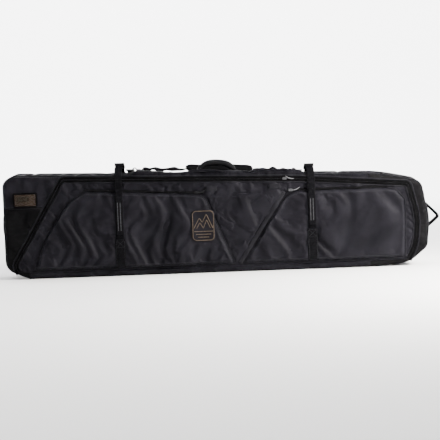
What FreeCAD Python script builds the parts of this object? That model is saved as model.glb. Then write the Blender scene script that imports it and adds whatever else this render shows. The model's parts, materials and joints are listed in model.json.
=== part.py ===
import FreeCAD, Part
import math
import os
import re
import Sketcher
from FreeCAD import Placement, Rotation, Vector

# Snowboard bag, millimetres. +X runs along the bag to its nose, -Y is the front with the lid,
# +Z is up. The bag stands on its long bottom side, on z = 0.

doc = FreeCAD.newDocument("snowboard_bag")
sheet = doc.addObject("Spreadsheet::Sheet", "dims")

DIMENSIONS = {
    # tub outline, seen from the front
    "tub_left": -842, "tub_left_top": 417, "tub_left_low": 40, "floor_left": -742,
    "floor_right": 590, "top_bend_x": 640, "top_bend_z": 362, "nose_top_x": 796, "nose_top_z": 329,
    "nose_tip_x": 822, "nose_tip_z": 185, "nose_low_x": 815, "nose_low_z": 74,
    "nose_heel_x": 744, "nose_heel_z": 15, "nose_radius": 38, "tail_radius": 42, "tail_seam": 90,
    # depths and wall layers
    "front_face": -112, "rim": -100, "back_inner": 100, "back_joint": 104, "back_face": 110,
    "wall": 10, "lid_shell": 6, "lid_lining_depth": 5, "lid_lining_inset": 12, "lining_inset": 11,
    "lining_play": 0.1,
    # edge of the lid, which is the line of the main zip
    "hinge_z": 25, "lid_heel_x": -785, "lid_tail_x": -799, "lid_tail_z": 55, "lid_corner_x": -603,
    "lid_corner_z": 383, "zip_bend_x": 300, "zip_bend_z": 356, "lid_nose_x": 744,
    "lid_nose_z": 321, "lid_side_x": 777, "lid_side_z": 192, "lid_foot_x": 767,
    "lid_foot_z": 83, "lid_toe_x": 738, "zip_gap": 2, "tape_width": 8, "tape_depth": 1.2,
    "lid_radius": 16,
    # outer pockets and trim on the lid
    "pocket_depth": 12, "pocket_floor_z": 34, "pocket_radius": 14, "trim_depth": 1.6,
    "left_floor_x": 59, "left_waist_x": -25, "left_waist_z": 234, "left_end_x": -52,
    "left_end_z": 308, "left_top_x": -519, "left_top_z": 334, "left_brow_x": -573,
    "left_brow_z": 302, "left_flank_x": -631, "left_flank_z": 229, "left_hip_x": -683,
    "left_hip_z": 147, "left_toe_x": -724,
    "right_toe_x": 94, "right_floor_x": 725, "right_hip_x": 732, "right_hip_z": 166,
    "right_flank_x": 729, "right_flank_z": 262, "right_brow_x": 696, "right_brow_z": 300,
    "right_top_x": 664, "right_top_z": 307, "right_end_x": 275,
    "flap_low_x": 71, "flap_high_x": 251, "flap_width": 18, "flap_inset": 2,
    "centre_low_x": 63, "centre_low_width": 4, "centre_right_x": 246, "centre_left_x": -46,
    "centre_top_z": 306, "centre_waist_x": -20, "centre_waist_z": 236, "centre_inset": 5,
    "badge_x": -59, "badge_z": 186, "badge_width": 92, "badge_height": 124, "badge_radius": 20,
    "tab_length": 46, "tab_height": 20, "left_tab_x": -46, "left_tab_z": 318,
    "right_tab_x": 200, "right_tab_z": 319,
    "window_x": -794, "window_z": 283, "window_width": 90, "window_height": 52,
    "window_radius": 3, "guard_inset": 12, "guard_drop": 70, "guard_low_gap": 24,
    "guard_high_gap": 56,
    # inside the tub
    "floor_pad_inset": 12, "floor_pad_width": 190, "floor_pad_height": 5, "pad_play": 0.2,
    "tie_shift": 40, "tie_width": 25, "tie_webbing": 2, "tie_height": 250, "tie_low_z": 70,
    "tie_buckle_width": 34, "tie_buckle_depth": 8, "tie_buckle_height": 46, "tie_buckle_z": 180,
    # compression straps
    "strap_left_x": -384, "strap_right_x": 366, "webbing_width": 30, "webbing": 2,
    "band_width": 38, "strap_clear": 0.6, "band_top_left": 145, "band_top_right": 160,
    "shoulder_z_left": 408, "shoulder_z_right": 380, "tail_top_left": 338, "tail_top_right": 318,
    "tail_low_left": 158, "tail_low_right": 172, "strap_roof_left": 402, "strap_roof_right": 374,
    "back_strap_low": 60,
    # side-release buckles, along their own axis, which is tilted up to the front
    "buckle_tilt": 15, "buckle_rise": 28.5, "buckle_width": 38, "socket_height": 12,
    "socket_length": 32, "cavity_height": 6.6, "cavity_width": 32, "cavity_depth": 27,
    "plug_length": 22, "prong_height": 4, "prong_reach": 24, "prong_width": 6,
    # grab handle
    "grab_left": -76, "grab_right": 66, "grab_y": -20, "grab_foot_z": 393, "grab_top_z": 431,
    "grab_width": 26, "grab_webbing": 3, "grip_height": 24, "grip_depth": 30, "grip_left": -54,
    "grip_right": 34, "grip_lining": 1.8, "foot_length": 34, "foot_height": 1.4, "foot_margin": 3,
    "left_foot_reach": 22, "right_foot_reach": 12,
    # shoulder strap, which turns about the bars of its two D-rings
    "ring_left_x": -350, "ring_right_x": 330, "ring_y": 113.6, "ring_rise": 9, "bar_radius": 2.5,
    "bar_clear": 0.3, "ring_width": 30, "ring_reach": 24, "ring_tilt": 10, "sling_y": 95,
    "sling_rise": 15, "sling_width": 30, "pad_left": -126, "pad_right": 147, "pad_width": 52,
    "pad_height": 11, "pad_tilt": 30, "pad_lift": 6, "pad_radius": 4, "hook_radius": 8,
    "hook_wire": 2.2, "hook_play": 0.4, "barrel_radius": 4, "barrel_length": 16, "eye_length": 14,
    "eye_height": 4, "eye_margin": 4, "eye_slot": 6, "tab_drop": 50, "sling_hook_gap": 35,
    "glide_near": -206, "glide_far": -272, "glide_length": 20, "glide_height": 3,
    "glide_margin": 4, "glide_lift": 1.1, "glide_slot": 5, "glide_pitch": 9,
    # end handle on the nose
    "end_top_z": 247, "end_tip_x": 859, "end_tip_z": 183, "end_low_z": 132, "end_webbing": 5,
    "end_width": 30, "end_root_x": 823,
    # zip sliders and pulls
    "slider_length": 16, "slider_height": 10, "slider_depth": 5.6, "slider_clear": 0.4,
    "pull_length": 34, "pull_width": 7, "pull_depth": 2.4, "pull_lift": 14, "main_slider_x": 264,
    "left_slider_x": -80, "right_slider_x": 286,
}
for row, (name, size) in enumerate(DIMENSIONS.items(), start=1):
    sheet.set(f"A{row}", name)
    sheet.set(f"B{row}", str(size))
    sheet.setAlias(f"B{row}", name)
doc.recompute()

PARTS = []


def named(expression):
    """Turns bare names of dimensions into references to the sheet."""
    def refer(match):
        word = match.group(0)
        return f"dims.{word}" if word in DIMENSIONS else word

    return re.sub(r"[a-z_]+", refer, str(expression))


def value(expression):
    """The number that an expression in named dimensions gives."""
    return float(sheet.evalExpression(named(expression)))


def origin_plane(body, role):
    """One of a body's own origin planes."""
    return next(item for item in body.Origin.OriginFeatures if item.Role == role)


def new_body(label):
    """An empty body that becomes one sub-part."""
    body = doc.addObject("PartDesign::Body", label)
    body.Label = label
    PARTS.append(body)
    return body


def place(body, x="0", y="0", z="0"):
    """Binds a sub-part's place to the sheet."""
    for axis, expression in zip("xyz", (x, y, z)):
        if expression != "0":
            body.setExpression(f"Placement.Base.{axis}", named(expression))


def outline(body, label, role, corners):
    """A closed straight-sided sketch whose corners follow the sheet."""
    sketch = body.newObject("Sketcher::SketchObject", label)
    sketch.AttachmentSupport = (origin_plane(body, role), [""])
    sketch.MapMode = "FlatFace"
    points = [Vector(value(u), value(v), 0) for u, v in corners]
    following = points[1:] + points[:1]
    for start, end in zip(points, following):
        sketch.addGeometry(Part.LineSegment(start, end), False)
    for index in range(len(points)):
        after = (index + 1) % len(points)
        sketch.addConstraint(Sketcher.Constraint("Coincident", index, 2, after, 1))
    for index, (u, v) in enumerate(corners):
        for kind, expression in (("DistanceX", u), ("DistanceY", v)):
            rule = Sketcher.Constraint(kind, -1, 1, index, 1, value(expression))
            number = sketch.addConstraint(rule)
            sketch.setExpression(f"Constraints[{number}]", named(expression))
    return sketch


def edges_at(shape, points, along):
    """Names of the straight edges that run along a direction through given points."""
    names = []
    for number, edge in enumerate(shape.Edges, start=1):
        if edge.Curve.TypeId != "Part::GeomLine":
            continue
        line = edge.Vertexes[1].Point - edge.Vertexes[0].Point
        if line.cross(along).Length > 1e-4:
            continue
        for point in points:
            offset = edge.Vertexes[0].Point - point
            if offset.cross(along).Length < 1e-3:
                names.append(f"Edge{number}")
    return names


def rounded(body, base, points, along, radius, label):
    """Rounds the edges that pass through points."""
    doc.recompute()
    fillet = body.newObject("PartDesign::Fillet", label)
    fillet.Base = (base, edges_at(base.Shape, points, along))
    fillet.setExpression("Radius", named(radius))
    body.Tip = fillet
    return fillet


def front_slab(label, corners, depth, inner_y, rounds=()):
    """A flat piece in the XZ plane that grows from inner_y towards the front."""
    body = new_body(label)
    sketch = outline(body, label + "_outline", "XZ_Plane", corners)
    pad = body.newObject("PartDesign::Pad", label + "_pad")
    pad.Profile = sketch
    pad.setExpression("Length", named(depth))
    base = pad
    for order, (indexes, radius) in enumerate(rounds):
        points = [Vector(value(corners[i][0]), 0, value(corners[i][1])) for i in indexes]
        base = rounded(body, base, points, Vector(0, 1, 0), radius, f"{label}_round_{order}")
    place(body, y=inner_y)
    return body


def cross_slab(label, corners, width, start_x, rounds=()):
    """A profile in the YZ plane that runs along X from start_x."""
    body = new_body(label)
    sketch = outline(body, label + "_outline", "YZ_Plane", corners)
    pad = body.newObject("PartDesign::Pad", label + "_pad")
    pad.Profile = sketch
    pad.setExpression("Length", named(width))
    base = pad
    for order, (indexes, radius) in enumerate(rounds):
        points = [Vector(0, value(corners[i][0]), value(corners[i][1])) for i in indexes]
        base = rounded(body, base, points, Vector(1, 0, 0), radius, f"{label}_round_{order}")
    place(body, x=start_x)
    return body


def offset(path, amount, closed=False):
    """The path moved to its left by amount, mitred at its corners."""
    points = [Vector(value(u), value(v), 0) for u, v in path]
    last = len(points) - 1
    moved = []
    for index, (u, v) in enumerate(path):
        before = points[index - 1] if index > 0 or closed else None
        after = points[(index + 1) % len(points)] if index < last or closed else None
        normals = []
        for start, end in ((before, points[index]), (points[index], after)):
            if start is not None and end is not None:
                run = (end - start).normalize()
                normals.append(Vector(-run.y, run.x, 0))
        mitre = normals[0] + normals[-1]
        mitre = mitre * (2 / mitre.Length ** 2)
        moved.append((f"{u} + {mitre.x:.5f} * ({amount})", f"{v} + {mitre.y:.5f} * ({amount})"))
    return moved


def strip(path, width, lift="0"):
    """A band of the given width on the left of a path, lifted off it first."""
    near = path if lift == "0" else offset(path, lift)
    far = offset(path, f"{lift} + {width}")
    return near + far[::-1]


def box(label, size, corner):
    """A plain block, given by its size and its lowest corner."""
    block = doc.addObject("Part::Box", label)
    for name, expression in zip(("Length", "Width", "Height"), size):
        block.setExpression(name, named(expression))
    for axis, expression in zip("xyz", corner):
        block.setExpression(f"Placement.Base.{axis}", named(expression))
    return block


def cylinder_x(label, radius, length, corner):
    """A round bar along X that starts at a point."""
    bar = doc.addObject("Part::Cylinder", label)
    bar.Placement = Placement(Vector(), Rotation(Vector(0, 1, 0), 90))
    bar.setExpression("Radius", named(radius))
    bar.setExpression("Height", named(length))
    for axis, expression in zip("xyz", corner):
        bar.setExpression(f"Placement.Base.{axis}", named(expression))
    return bar


def rounded_off(label, flat, envelope):
    """A webbing loop whose ends are rounded about its turning axis, so that it turns freely."""
    PARTS.remove(flat)
    keep = doc.addObject("Part::MultiFuse", label + "_envelope")
    keep.Shapes = envelope
    loop = doc.addObject("Part::Common", label)
    loop.Base = flat
    loop.Tool = keep
    loop.Label = label
    PARTS.append(loop)


def grouped(label, pieces):
    """Separate equal solids that share one node."""
    group = doc.addObject("Part::Compound", label)
    group.Links = pieces
    group.Label = label
    PARTS.append(group)
    return group


# ---------------------------------------------------------------- outlines seen from the front

TOP_SLOPE = "((tub_left_top - top_bend_z) / (top_bend_x - tub_left))"


def roof_z(x):
    """Height of the sloping top of the tub at x."""
    return f"tub_left_top - ({x} - tub_left) * {TOP_SLOPE}"


TUB = [
    ("floor_left", "0"), ("floor_right", "0"), ("nose_heel_x", "nose_heel_z"),
    ("nose_low_x", "nose_low_z"), ("nose_tip_x", "nose_tip_z"), ("nose_top_x", "nose_top_z"),
    ("top_bend_x", "top_bend_z"), ("tub_left", "tub_left_top"),
    ("tub_left + 6", "tub_left_low"),
]
HEEL, NOSE_LOW, NOSE_TOP, TAIL_TOP, TAIL_LOW = 2, 3, 5, 7, 8

LID = [
    ("lid_heel_x", "hinge_z"), ("lid_toe_x", "hinge_z"), ("lid_foot_x", "lid_foot_z"),
    ("lid_side_x", "lid_side_z"), ("lid_nose_x", "lid_nose_z"), ("zip_bend_x", "zip_bend_z"),
    ("lid_corner_x", "lid_corner_z"), ("lid_tail_x", "lid_tail_z"),
]
ZIP_LINE = LID[1:] + LID[:1]
GAP_LINE = offset(ZIP_LINE, "0 - zip_gap")


# ---------------------------------------------------------------- tub

def make_tub():
    """Four gussets round the edge, the back, and the fixed parts of the front."""
    depth = "back_joint - rim"
    inner = offset(TUB, "wall", closed=True)
    seam_x = "tub_left + tail_seam"
    seam = (seam_x, roof_z(seam_x))
    inner_seam = (seam_x, f"{seam[1]} - wall")
    front_slab("bottom_gusset", TUB[:2] + inner[1::-1], depth, "back_joint")
    front_slab("nose_gusset", TUB[1:7] + inner[6:0:-1], depth, "back_joint",
               [([9, 7], "nose_radius - wall"), ([2, 4], "nose_radius")])
    front_slab("top_gusset", [TUB[6], seam, inner_seam, inner[6]], depth, "back_joint")
    tail = [seam, TUB[7], TUB[8], TUB[0], inner[0], inner[8], inner[7], inner_seam]
    front_slab("tail_gusset", tail, depth, "back_joint",
               [([6], "tail_radius - wall"), ([1], "tail_radius")])
    corners = [([NOSE_LOW, NOSE_TOP], "nose_radius"), ([TAIL_TOP], "tail_radius")]
    front_slab("back_panel", TUB, "back_face - back_joint", "back_face", corners)
    lining = offset(TUB, "lining_inset", closed=True)
    front_slab("back_lining", lining, "back_joint - back_inner - 2 * lining_play",
               "back_joint - lining_play", corners)
    make_fixed_front()


def make_fixed_front():
    """The panels round the lid, which leave the zip's gap open, and what is sewn to them."""
    depth = "rim - front_face"
    sill_z = "hinge_z - zip_gap"
    side, nose, bend, corner, tail = GAP_LINE[2:7]
    foot = GAP_LINE[1]
    roof = (corner[0], roof_z(corner[0]))
    fall = f"(({nose[1]}) - ({bend[1]})) / (({nose[0]}) - ({bend[0]}))"
    seam = ("top_bend_x", f"{bend[1]} + (top_bend_x - ({bend[0]})) * {fall}")
    panel = [TUB[0], ("floor_left", sill_z), ("lid_heel_x - zip_gap", sill_z), tail, corner, roof]
    panel += TUB[7:]
    front_slab("tail_front_panel", panel, depth, "rim", [([6], "tail_radius")])
    front_slab("zip_header_strip", [corner, bend, seam, TUB[6], roof], depth, "rim")
    panel = TUB[1:7] + [seam, nose, side, foot, ("lid_toe_x + 1.2", sill_z), ("floor_right", sill_z)]
    front_slab("nose_front_panel", panel, depth, "rim",
               [([NOSE_LOW - 1, NOSE_TOP - 1], "nose_radius")])
    sill = [TUB[0], TUB[1], ("floor_right", sill_z), ("floor_left", sill_z)]
    front_slab("lower_front_strip", sill, depth, "rim")

    window = [("window_x", "window_z"), ("window_x + window_width", "window_z"),
              ("window_x + window_width", "window_z + window_height"),
              ("window_x", "window_z + window_height")]
    front_slab("document_window", window, "trim_depth", "front_face",
               [([0, 1, 2, 3], "window_radius")])
    low_z, high_z = "tub_left_low + guard_inset", "window_z - guard_drop"
    guard = [("tub_left + guard_inset + 2", low_z), ("lid_tail_x - guard_low_gap", low_z),
             ("lid_tail_x + guard_high_gap", high_z), ("tub_left + guard_inset - 2", high_z)]
    front_slab("scuff_guard", guard, "trim_depth", "front_face")


def make_inside():
    """The floor pad, and two tie-down straps with their buckles on the back lining."""
    pad_length = "floor_right - floor_left - 2 * floor_pad_inset"
    pad_corner = ("floor_left + floor_pad_inset", "0 - floor_pad_width / 2", "wall + pad_play")
    PARTS.append(box("floor_pad", (pad_length, "floor_pad_width", "floor_pad_height"), pad_corner))
    straps = []
    buckles = []
    strap_y = "back_inner - tie_webbing"
    for side, x in (("left", "strap_left_x + tie_shift"), ("right", "strap_right_x - tie_shift")):
        size = ("tie_width", "tie_webbing", "tie_height")
        straps.append(box(f"tie_strap_{side}", size, (x, strap_y, "tie_low_z")))
        size = ("tie_buckle_width", "tie_buckle_depth", "tie_buckle_height")
        corner = (f"{x} + tie_width / 2 - tie_buckle_width / 2",
                  f"{strap_y} - pad_play - tie_buckle_depth", "tie_buckle_z")
        buckles.append(box(f"tie_buckle_{side}", size, corner))
    grouped("tie_down_straps", straps)
    grouped("tie_down_buckles", buckles)


# ---------------------------------------------------------------- lid

LEFT_POCKET = [
    ("left_toe_x", "pocket_floor_z"), ("left_floor_x", "pocket_floor_z"),
    ("left_waist_x", "left_waist_z"), ("left_end_x", "left_end_z"), ("left_top_x", "left_top_z"),
    ("left_brow_x", "left_brow_z"), ("left_flank_x", "left_flank_z"), ("left_hip_x", "left_hip_z"),
]
RIGHT_POCKET = [
    ("right_toe_x", "pocket_floor_z"), ("right_floor_x", "pocket_floor_z"),
    ("right_hip_x", "right_hip_z"), ("right_flank_x", "right_flank_z"),
    ("right_brow_x", "right_brow_z"), ("right_top_x", "right_top_z"),
    ("right_end_x", "right_top_z"),
]


def make_lid():
    """The lid's panels, its lining, both halves of the main zip, the pockets and their trim."""
    front_slab("lid_panel", LID, "lid_shell", "front_face + lid_shell", [([4, 6], "lid_radius")])
    lining = offset(LID, "lid_lining_inset", closed=True)
    inner_y = "front_face + lid_shell + lid_lining_depth + lining_play"
    front_slab("lid_lining", lining, "lid_lining_depth", inner_y)
    tape = "tape_depth"
    front_slab("main_zip_lid_half", strip(ZIP_LINE[:-1], "tape_width"), tape, "front_face")
    body_tape = strip(GAP_LINE[:-1], "0 - tape_width")
    front_slab("main_zip_tub_half", body_tape, tape, "front_face")
    pocket_rounds = {"left_pocket": [([4], "pocket_radius")],
                     "right_pocket": [([3, 4], "pocket_radius")]}
    for label, corners in (("left_pocket", LEFT_POCKET), ("right_pocket", RIGHT_POCKET)):
        front_slab(label, corners, "pocket_depth", "front_face", pocket_rounds[label])
    zips = {"left_pocket_zip": (LEFT_POCKET[3], LEFT_POCKET[4]),
            "right_pocket_zip": (RIGHT_POCKET[6], RIGHT_POCKET[5])}
    for label, (start, end) in zips.items():
        sign = "" if label == "right_pocket_zip" else "0 - "
        front_slab(label, strip([start, end], f"{sign}(tape_width + 1)", f"{sign}1"), tape, "front_face")
    flap = [("flap_low_x", "pocket_floor_z"), ("flap_low_x + flap_width", "pocket_floor_z"),
            ("flap_high_x + flap_width", "right_top_z"), ("flap_high_x", "right_top_z")]
    front_slab("diagonal_flap", flap, "pocket_depth - flap_inset", "front_face")
    centre = [("centre_low_x", "pocket_floor_z"),
              ("centre_low_x + centre_low_width", "pocket_floor_z"),
              ("centre_right_x", "centre_top_z"), ("centre_left_x", "centre_top_z"),
              ("centre_waist_x", "centre_waist_z")]
    front_slab("centre_panel", centre, "pocket_depth - centre_inset", "front_face")
    badge = [("badge_x - badge_width / 2", "badge_z - badge_height / 2"),
             ("badge_x + badge_width / 2", "badge_z - badge_height / 2"),
             ("badge_x + badge_width / 2", "badge_z + badge_height / 2"),
             ("badge_x - badge_width / 2", "badge_z + badge_height / 2")]
    front_slab("woven_badge", badge, "trim_depth", "front_face - pocket_depth",
               [([0, 1, 2, 3], "badge_radius")])
    for side in ("left", "right"):
        x, z = f"{side}_tab_x", f"{side}_tab_z"
        far_x, far_z = f"{x} + tab_length", f"{z} + tab_height"
        tab = [(x, z), (far_x, z), (far_x, far_z), (x, far_z)]
        front_slab(f"{side}_zip_tab", tab, "trim_depth", "front_face")


# ---------------------------------------------------------------- compression straps

FRONT_OF_POCKETS = "front_face - pocket_depth - strap_clear"


def buckle_centre(side):
    """Y and Z of a buckle's middle: there its axis is square to the line to the lid's hinge."""
    z = f"strap_roof_{side} + buckle_rise"
    y = f"front_face + ({z} - hinge_z) * tan(buckle_tilt)"
    return y, z


def set_buckle_place(feature, side, x):
    """Puts a piece made about the buckle's own axes into the bag."""
    y, z = buckle_centre(side)
    centre = Vector(value(x), value(y), value(z))
    feature.Placement = Placement(centre, Rotation(Vector(1, 0, 0), -value("buckle_tilt")))


def local_box(size, middle):
    """A block about a middle point, in the buckle's own axes: front is -Y."""
    length, width, height = (value(item) for item in size)
    corner = Vector(*(value(item) for item in middle)) - Vector(length / 2, width / 2, height / 2)
    return Part.makeBox(length, width, height, corner)


def make_socket(side, x):
    """The female half: a flat sleeve with side windows and a rear bar for its strap."""
    shell = local_box(("buckle_width", "socket_length", "socket_height"),
                      ("0", "socket_length / 2 - 2", "0"))
    shell = shell.makeFillet(3, [edge for edge in shell.Edges if abs(edge.Curve.Direction.y) > 0.9])
    cavity = local_box(("cavity_width", "cavity_depth", "cavity_height"),
                       ("0", "cavity_depth / 2 - 3", "0"))
    window = local_box(("buckle_width + 2", "11", "cavity_height - 1"), ("0", "12", "0"))
    slot = local_box(("webbing_width + 1", "8", "3.4"), ("0", "socket_length - 2", "0"))
    socket = doc.addObject("Part::Feature", f"buckle_socket_{side}")
    socket.Label = f"buckle_socket_{side}"
    socket.Shape = shell.cut(cavity).cut(window).cut(slot)
    set_buckle_place(socket, side, x)
    PARTS.append(socket)


def make_plug(side, x):
    """The male half: two side arms, a centre guide and a frame with two strap slots."""
    frame = local_box(("buckle_width", "plug_length", "socket_height - 3"),
                      ("0", "0 - plug_length / 2 - 3.5", "0"))
    frame = frame.makeFillet(2.5, [edge for edge in frame.Edges if abs(edge.Curve.Direction.z) > 0.9])
    for slot_y in ("0 - 12", "0 - 20"):
        slot = local_box(("webbing_width + 1", "4", "socket_height + 2"), ("0", slot_y, "0"))
        frame = frame.cut(slot)
    plug_shape = frame
    for arm_x in ("0 - 11.5", "0", "11.5"):
        arm = local_box(("prong_width", "prong_reach + 4", "prong_height"),
                        (arm_x, "(prong_reach - 4) / 2 - 2", "0"))
        plug_shape = plug_shape.fuse(arm)
    plug = doc.addObject("Part::Feature", f"buckle_plug_{side}")
    plug.Label = f"buckle_plug_{side}"
    plug.Shape = plug_shape.removeSplitter()
    set_buckle_place(plug, side, x)
    PARTS.append(plug)


def make_strap(side):
    """Webbing sewn to the lid, the free strap up to the plug, its hanging tail, the back strap."""
    x = f"strap_{side}_x"
    start_x = f"{x} - webbing_width / 2"
    face = FRONT_OF_POCKETS
    band_top = f"band_top_{side}"
    band = [(f"{x} - band_width / 2", "pocket_floor_z"), (f"{x} + band_width / 2", "pocket_floor_z"),
            (f"{x} + band_width / 2", band_top), (f"{x} - band_width / 2", band_top)]
    front_slab(f"strap_band_{side}", band, "webbing + strap_clear", "front_face - pocket_depth")

    y, z = buckle_centre(side)
    below = "((socket_height - 3) / 2 + webbing + 0.5)"
    under_plug = []
    for reach in ("(plug_length + 5)", "(plug_length - 12)"):
        under_y = f"{y} - {reach} * cos(buckle_tilt) - {below} * sin(buckle_tilt)"
        under_z = f"{z} + {reach} * sin(buckle_tilt) - {below} * cos(buckle_tilt)"
        under_plug.append((under_y, under_z))
    path = [(face, f"{band_top} + 1"), (face, f"shoulder_z_{side}")] + under_plug
    cross_slab(f"strap_front_{side}", strip(path, "webbing"), "webbing_width", start_x)

    tail_y = f"{face} - webbing - strap_clear"
    tail = [(tail_y, f"tail_low_{side}"), (tail_y, f"tail_top_{side}")]
    cross_slab(f"strap_tail_{side}", strip(tail, "webbing"), "webbing_width - 4", f"{start_x} + 2")

    roof = f"strap_roof_{side} + 0.8"
    rear_y = f"{y} + (socket_length + 2) * cos(buckle_tilt)"
    rear_z = f"{z} - (socket_length + 2) * sin(buckle_tilt)"
    path = [(rear_y, rear_z), (f"{rear_y} + 24", roof), ("back_face + 0.2", roof),
            ("back_face + 0.2", "back_strap_low")]
    cross_slab(f"back_strap_{side}", strip(path, "webbing"), "webbing_width", start_x)
    make_socket(side, x)
    make_plug(side, x)


# ---------------------------------------------------------------- handles

def make_grab_handle():
    """A webbing arch with a padded grip; its two feet are sewn to the top."""
    arch = [("grab_left", "grab_foot_z"), ("grip_left - 3", "grab_top_z"),
            ("grip_right + 3", "grab_top_z"), ("grab_right", "grab_foot_z")]
    flat = front_slab("grab_arch", strip(arch, "0 - grab_webbing"), "grab_width", "grab_y + grab_width / 2")
    hub = cylinder_x("grab_hub", "grab_width / 2", "grab_right - grab_left + 40",
                     ("grab_left - 20", "grab_y", "grab_foot_z + grab_width / 2"))
    above = box("grab_above", ("grab_right - grab_left + 40", "grab_width", "60"),
                ("grab_left - 20", "grab_y - grab_width / 2", "grab_foot_z + grab_width / 2"))
    rounded_off("grab_handle_webbing", flat, [hub, above])
    grip_size = ("grip_right - grip_left", "grip_depth", "grip_height")
    corner = ("grip_left", "grab_y - grip_depth / 2", "grab_top_z - grip_height / 2 - 1.5")
    block = box("grip_block", grip_size, corner)
    core_size = ("grip_right - grip_left + 2", "grip_depth - 2 * grip_lining",
                 "grab_webbing + 0.4")
    core = box("grip_core", core_size, ("grip_left - 1", "grab_y - grip_depth / 2 + grip_lining",
                                        "grab_top_z - grab_webbing - 0.2"))
    grip = doc.addObject("Part::Cut", "grab_handle_grip")
    grip.Label = "grab_handle_grip"
    grip.Base = block
    grip.Tool = core
    PARTS.append(grip)
    feet = []
    foot_size = ("foot_length", "grip_depth + 2 * foot_margin", "foot_height")
    for side in ("left", "right"):
        x = f"grab_{side} - {side}_foot_reach"
        corner = (x, "grab_y - grip_depth / 2 - foot_margin", f"{roof_z(x)} + pad_play")
        feet.append(box(f"grab_foot_{side}", foot_size, corner))
    grouped("grab_handle_feet", feet)


def ring_z(x):
    """Height of the shoulder strap's turning axis at x."""
    return f"{roof_z(x)} + ring_rise"


def make_shoulder_strap():
    """D-rings, hooks, webbing, tri-glide and pad, all turning about one axis behind the top."""
    slope = math.degrees(math.atan(value(TOP_SLOPE)))
    lean = Rotation(Vector(0, 1, 0), slope)
    for side, direction in (("left", 1), ("right", -1)):
        x = f"ring_{side}_x"
        centre = Vector(value(x), value("ring_y"), value(ring_z(x)))
        turned = Placement(centre, lean)
        make_ring_and_tab(side, turned)
        make_hook(side, direction, turned)
    make_sling(lean)


def make_ring_and_tab(side, turned):
    """A rectangular ring whose long bar turns inside a webbing loop sewn to the back."""
    bar = value("bar_radius")
    half = value("ring_width") / 2
    reach = value("ring_reach")
    tilt = Rotation(Vector(1, 0, 0), -value("ring_tilt"))
    rods = [((-half, 0), (half, 0)), ((-half, 0), (-half, -reach)), ((half, 0), (half, -reach)),
            ((-half, -reach), (half, -reach))]
    shape = None
    for (x0, y0), (x1, y1) in rods:
        start = Vector(x0, y0, 0)
        run = Vector(x1, y1, 0) - start
        rod = Part.makeCylinder(bar, run.Length, start, run).fuse(Part.makeSphere(bar, start))
        rod = rod.fuse(Part.makeSphere(bar, start + run))
        shape = rod if shape is None else shape.fuse(rod)
    ring = doc.addObject("Part::Feature", f"d_ring_{side}")
    ring.Label = f"d_ring_{side}"
    ring.Shape = shape.removeSplitter()
    ring.Placement = turned.multiply(Placement(Vector(), tilt))
    PARTS.append(ring)

    width = value("ring_width") - 2 * bar - 3
    inner = bar + value("bar_clear")
    outer = inner + value("webbing")
    start = Vector(-width / 2, 0, 0)
    along = Vector(1, 0, 0)
    loop = Part.makeCylinder(outer, width, start, along)
    flat_y = value("back_face") + 0.1 - value("ring_y")
    drop = value("tab_drop")
    flat_size = (width, outer - 0.1 - inner + 2, drop - 4)
    flat = Part.makeBox(*flat_size, Vector(-width / 2, flat_y, -drop))
    loop = loop.fuse(flat).cut(Part.makeCylinder(inner, width, start, along))
    behind = Part.makeBox(width, 20, drop + 30, Vector(-width / 2, flat_y - 20, -drop - 10))
    tab = doc.addObject("Part::Feature", f"ring_tab_{side}")
    tab.Label = f"ring_tab_{side}"
    tab.Shape = loop.cut(behind)
    tab.Placement = turned
    PARTS.append(tab)


def make_hook(side, direction, turned):
    """A closed hook ring round the ring's side rod, a swivel barrel and a flat strap eye."""
    major = value("hook_radius")
    wire = value("hook_wire")
    reach = value("sling_y") - value("ring_y")
    rise = -reach * math.tan(math.radians(value("ring_tilt")))
    rod_x = value("ring_width") / 2
    inner_gap = value("bar_radius") + value("bar_clear")
    centre_x = rod_x + major - wire - inner_gap - value("hook_play")
    link = Part.makeTorus(major, wire, Vector(), Vector(0, 1, 0))
    barrel_start = Vector(major + wire - 1.5, 0, 0)
    run = value("barrel_length")
    barrel = Part.makeCylinder(value("barrel_radius"), run, barrel_start, Vector(1, 0, 0))
    half = value("sling_width") / 2 + value("eye_margin")
    high = value("eye_height")
    eye_x = barrel_start.x + run - 1
    eye = Part.makeBox(value("eye_length"), 2 * half, high, Vector(eye_x, -half, -high / 2))
    slot_size = (value("eye_slot"), 2 * half - 7, 2 * high)
    slot = Part.makeBox(*slot_size, Vector(eye_x + value("eye_margin"), -half + 3.5, -high))
    shape = link.fuse(barrel).fuse(eye.cut(slot)).removeSplitter()
    hook = doc.addObject("Part::Feature", f"swivel_hook_{side}")
    hook.Label = f"swivel_hook_{side}"
    hook.Shape = shape
    flip = Rotation(Vector(0, 0, 1), 0 if direction > 0 else 180)
    local = Placement(Vector(direction * centre_x, reach, rise), flip)
    hook.Placement = turned.multiply(local)
    PARTS.append(hook)


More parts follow.
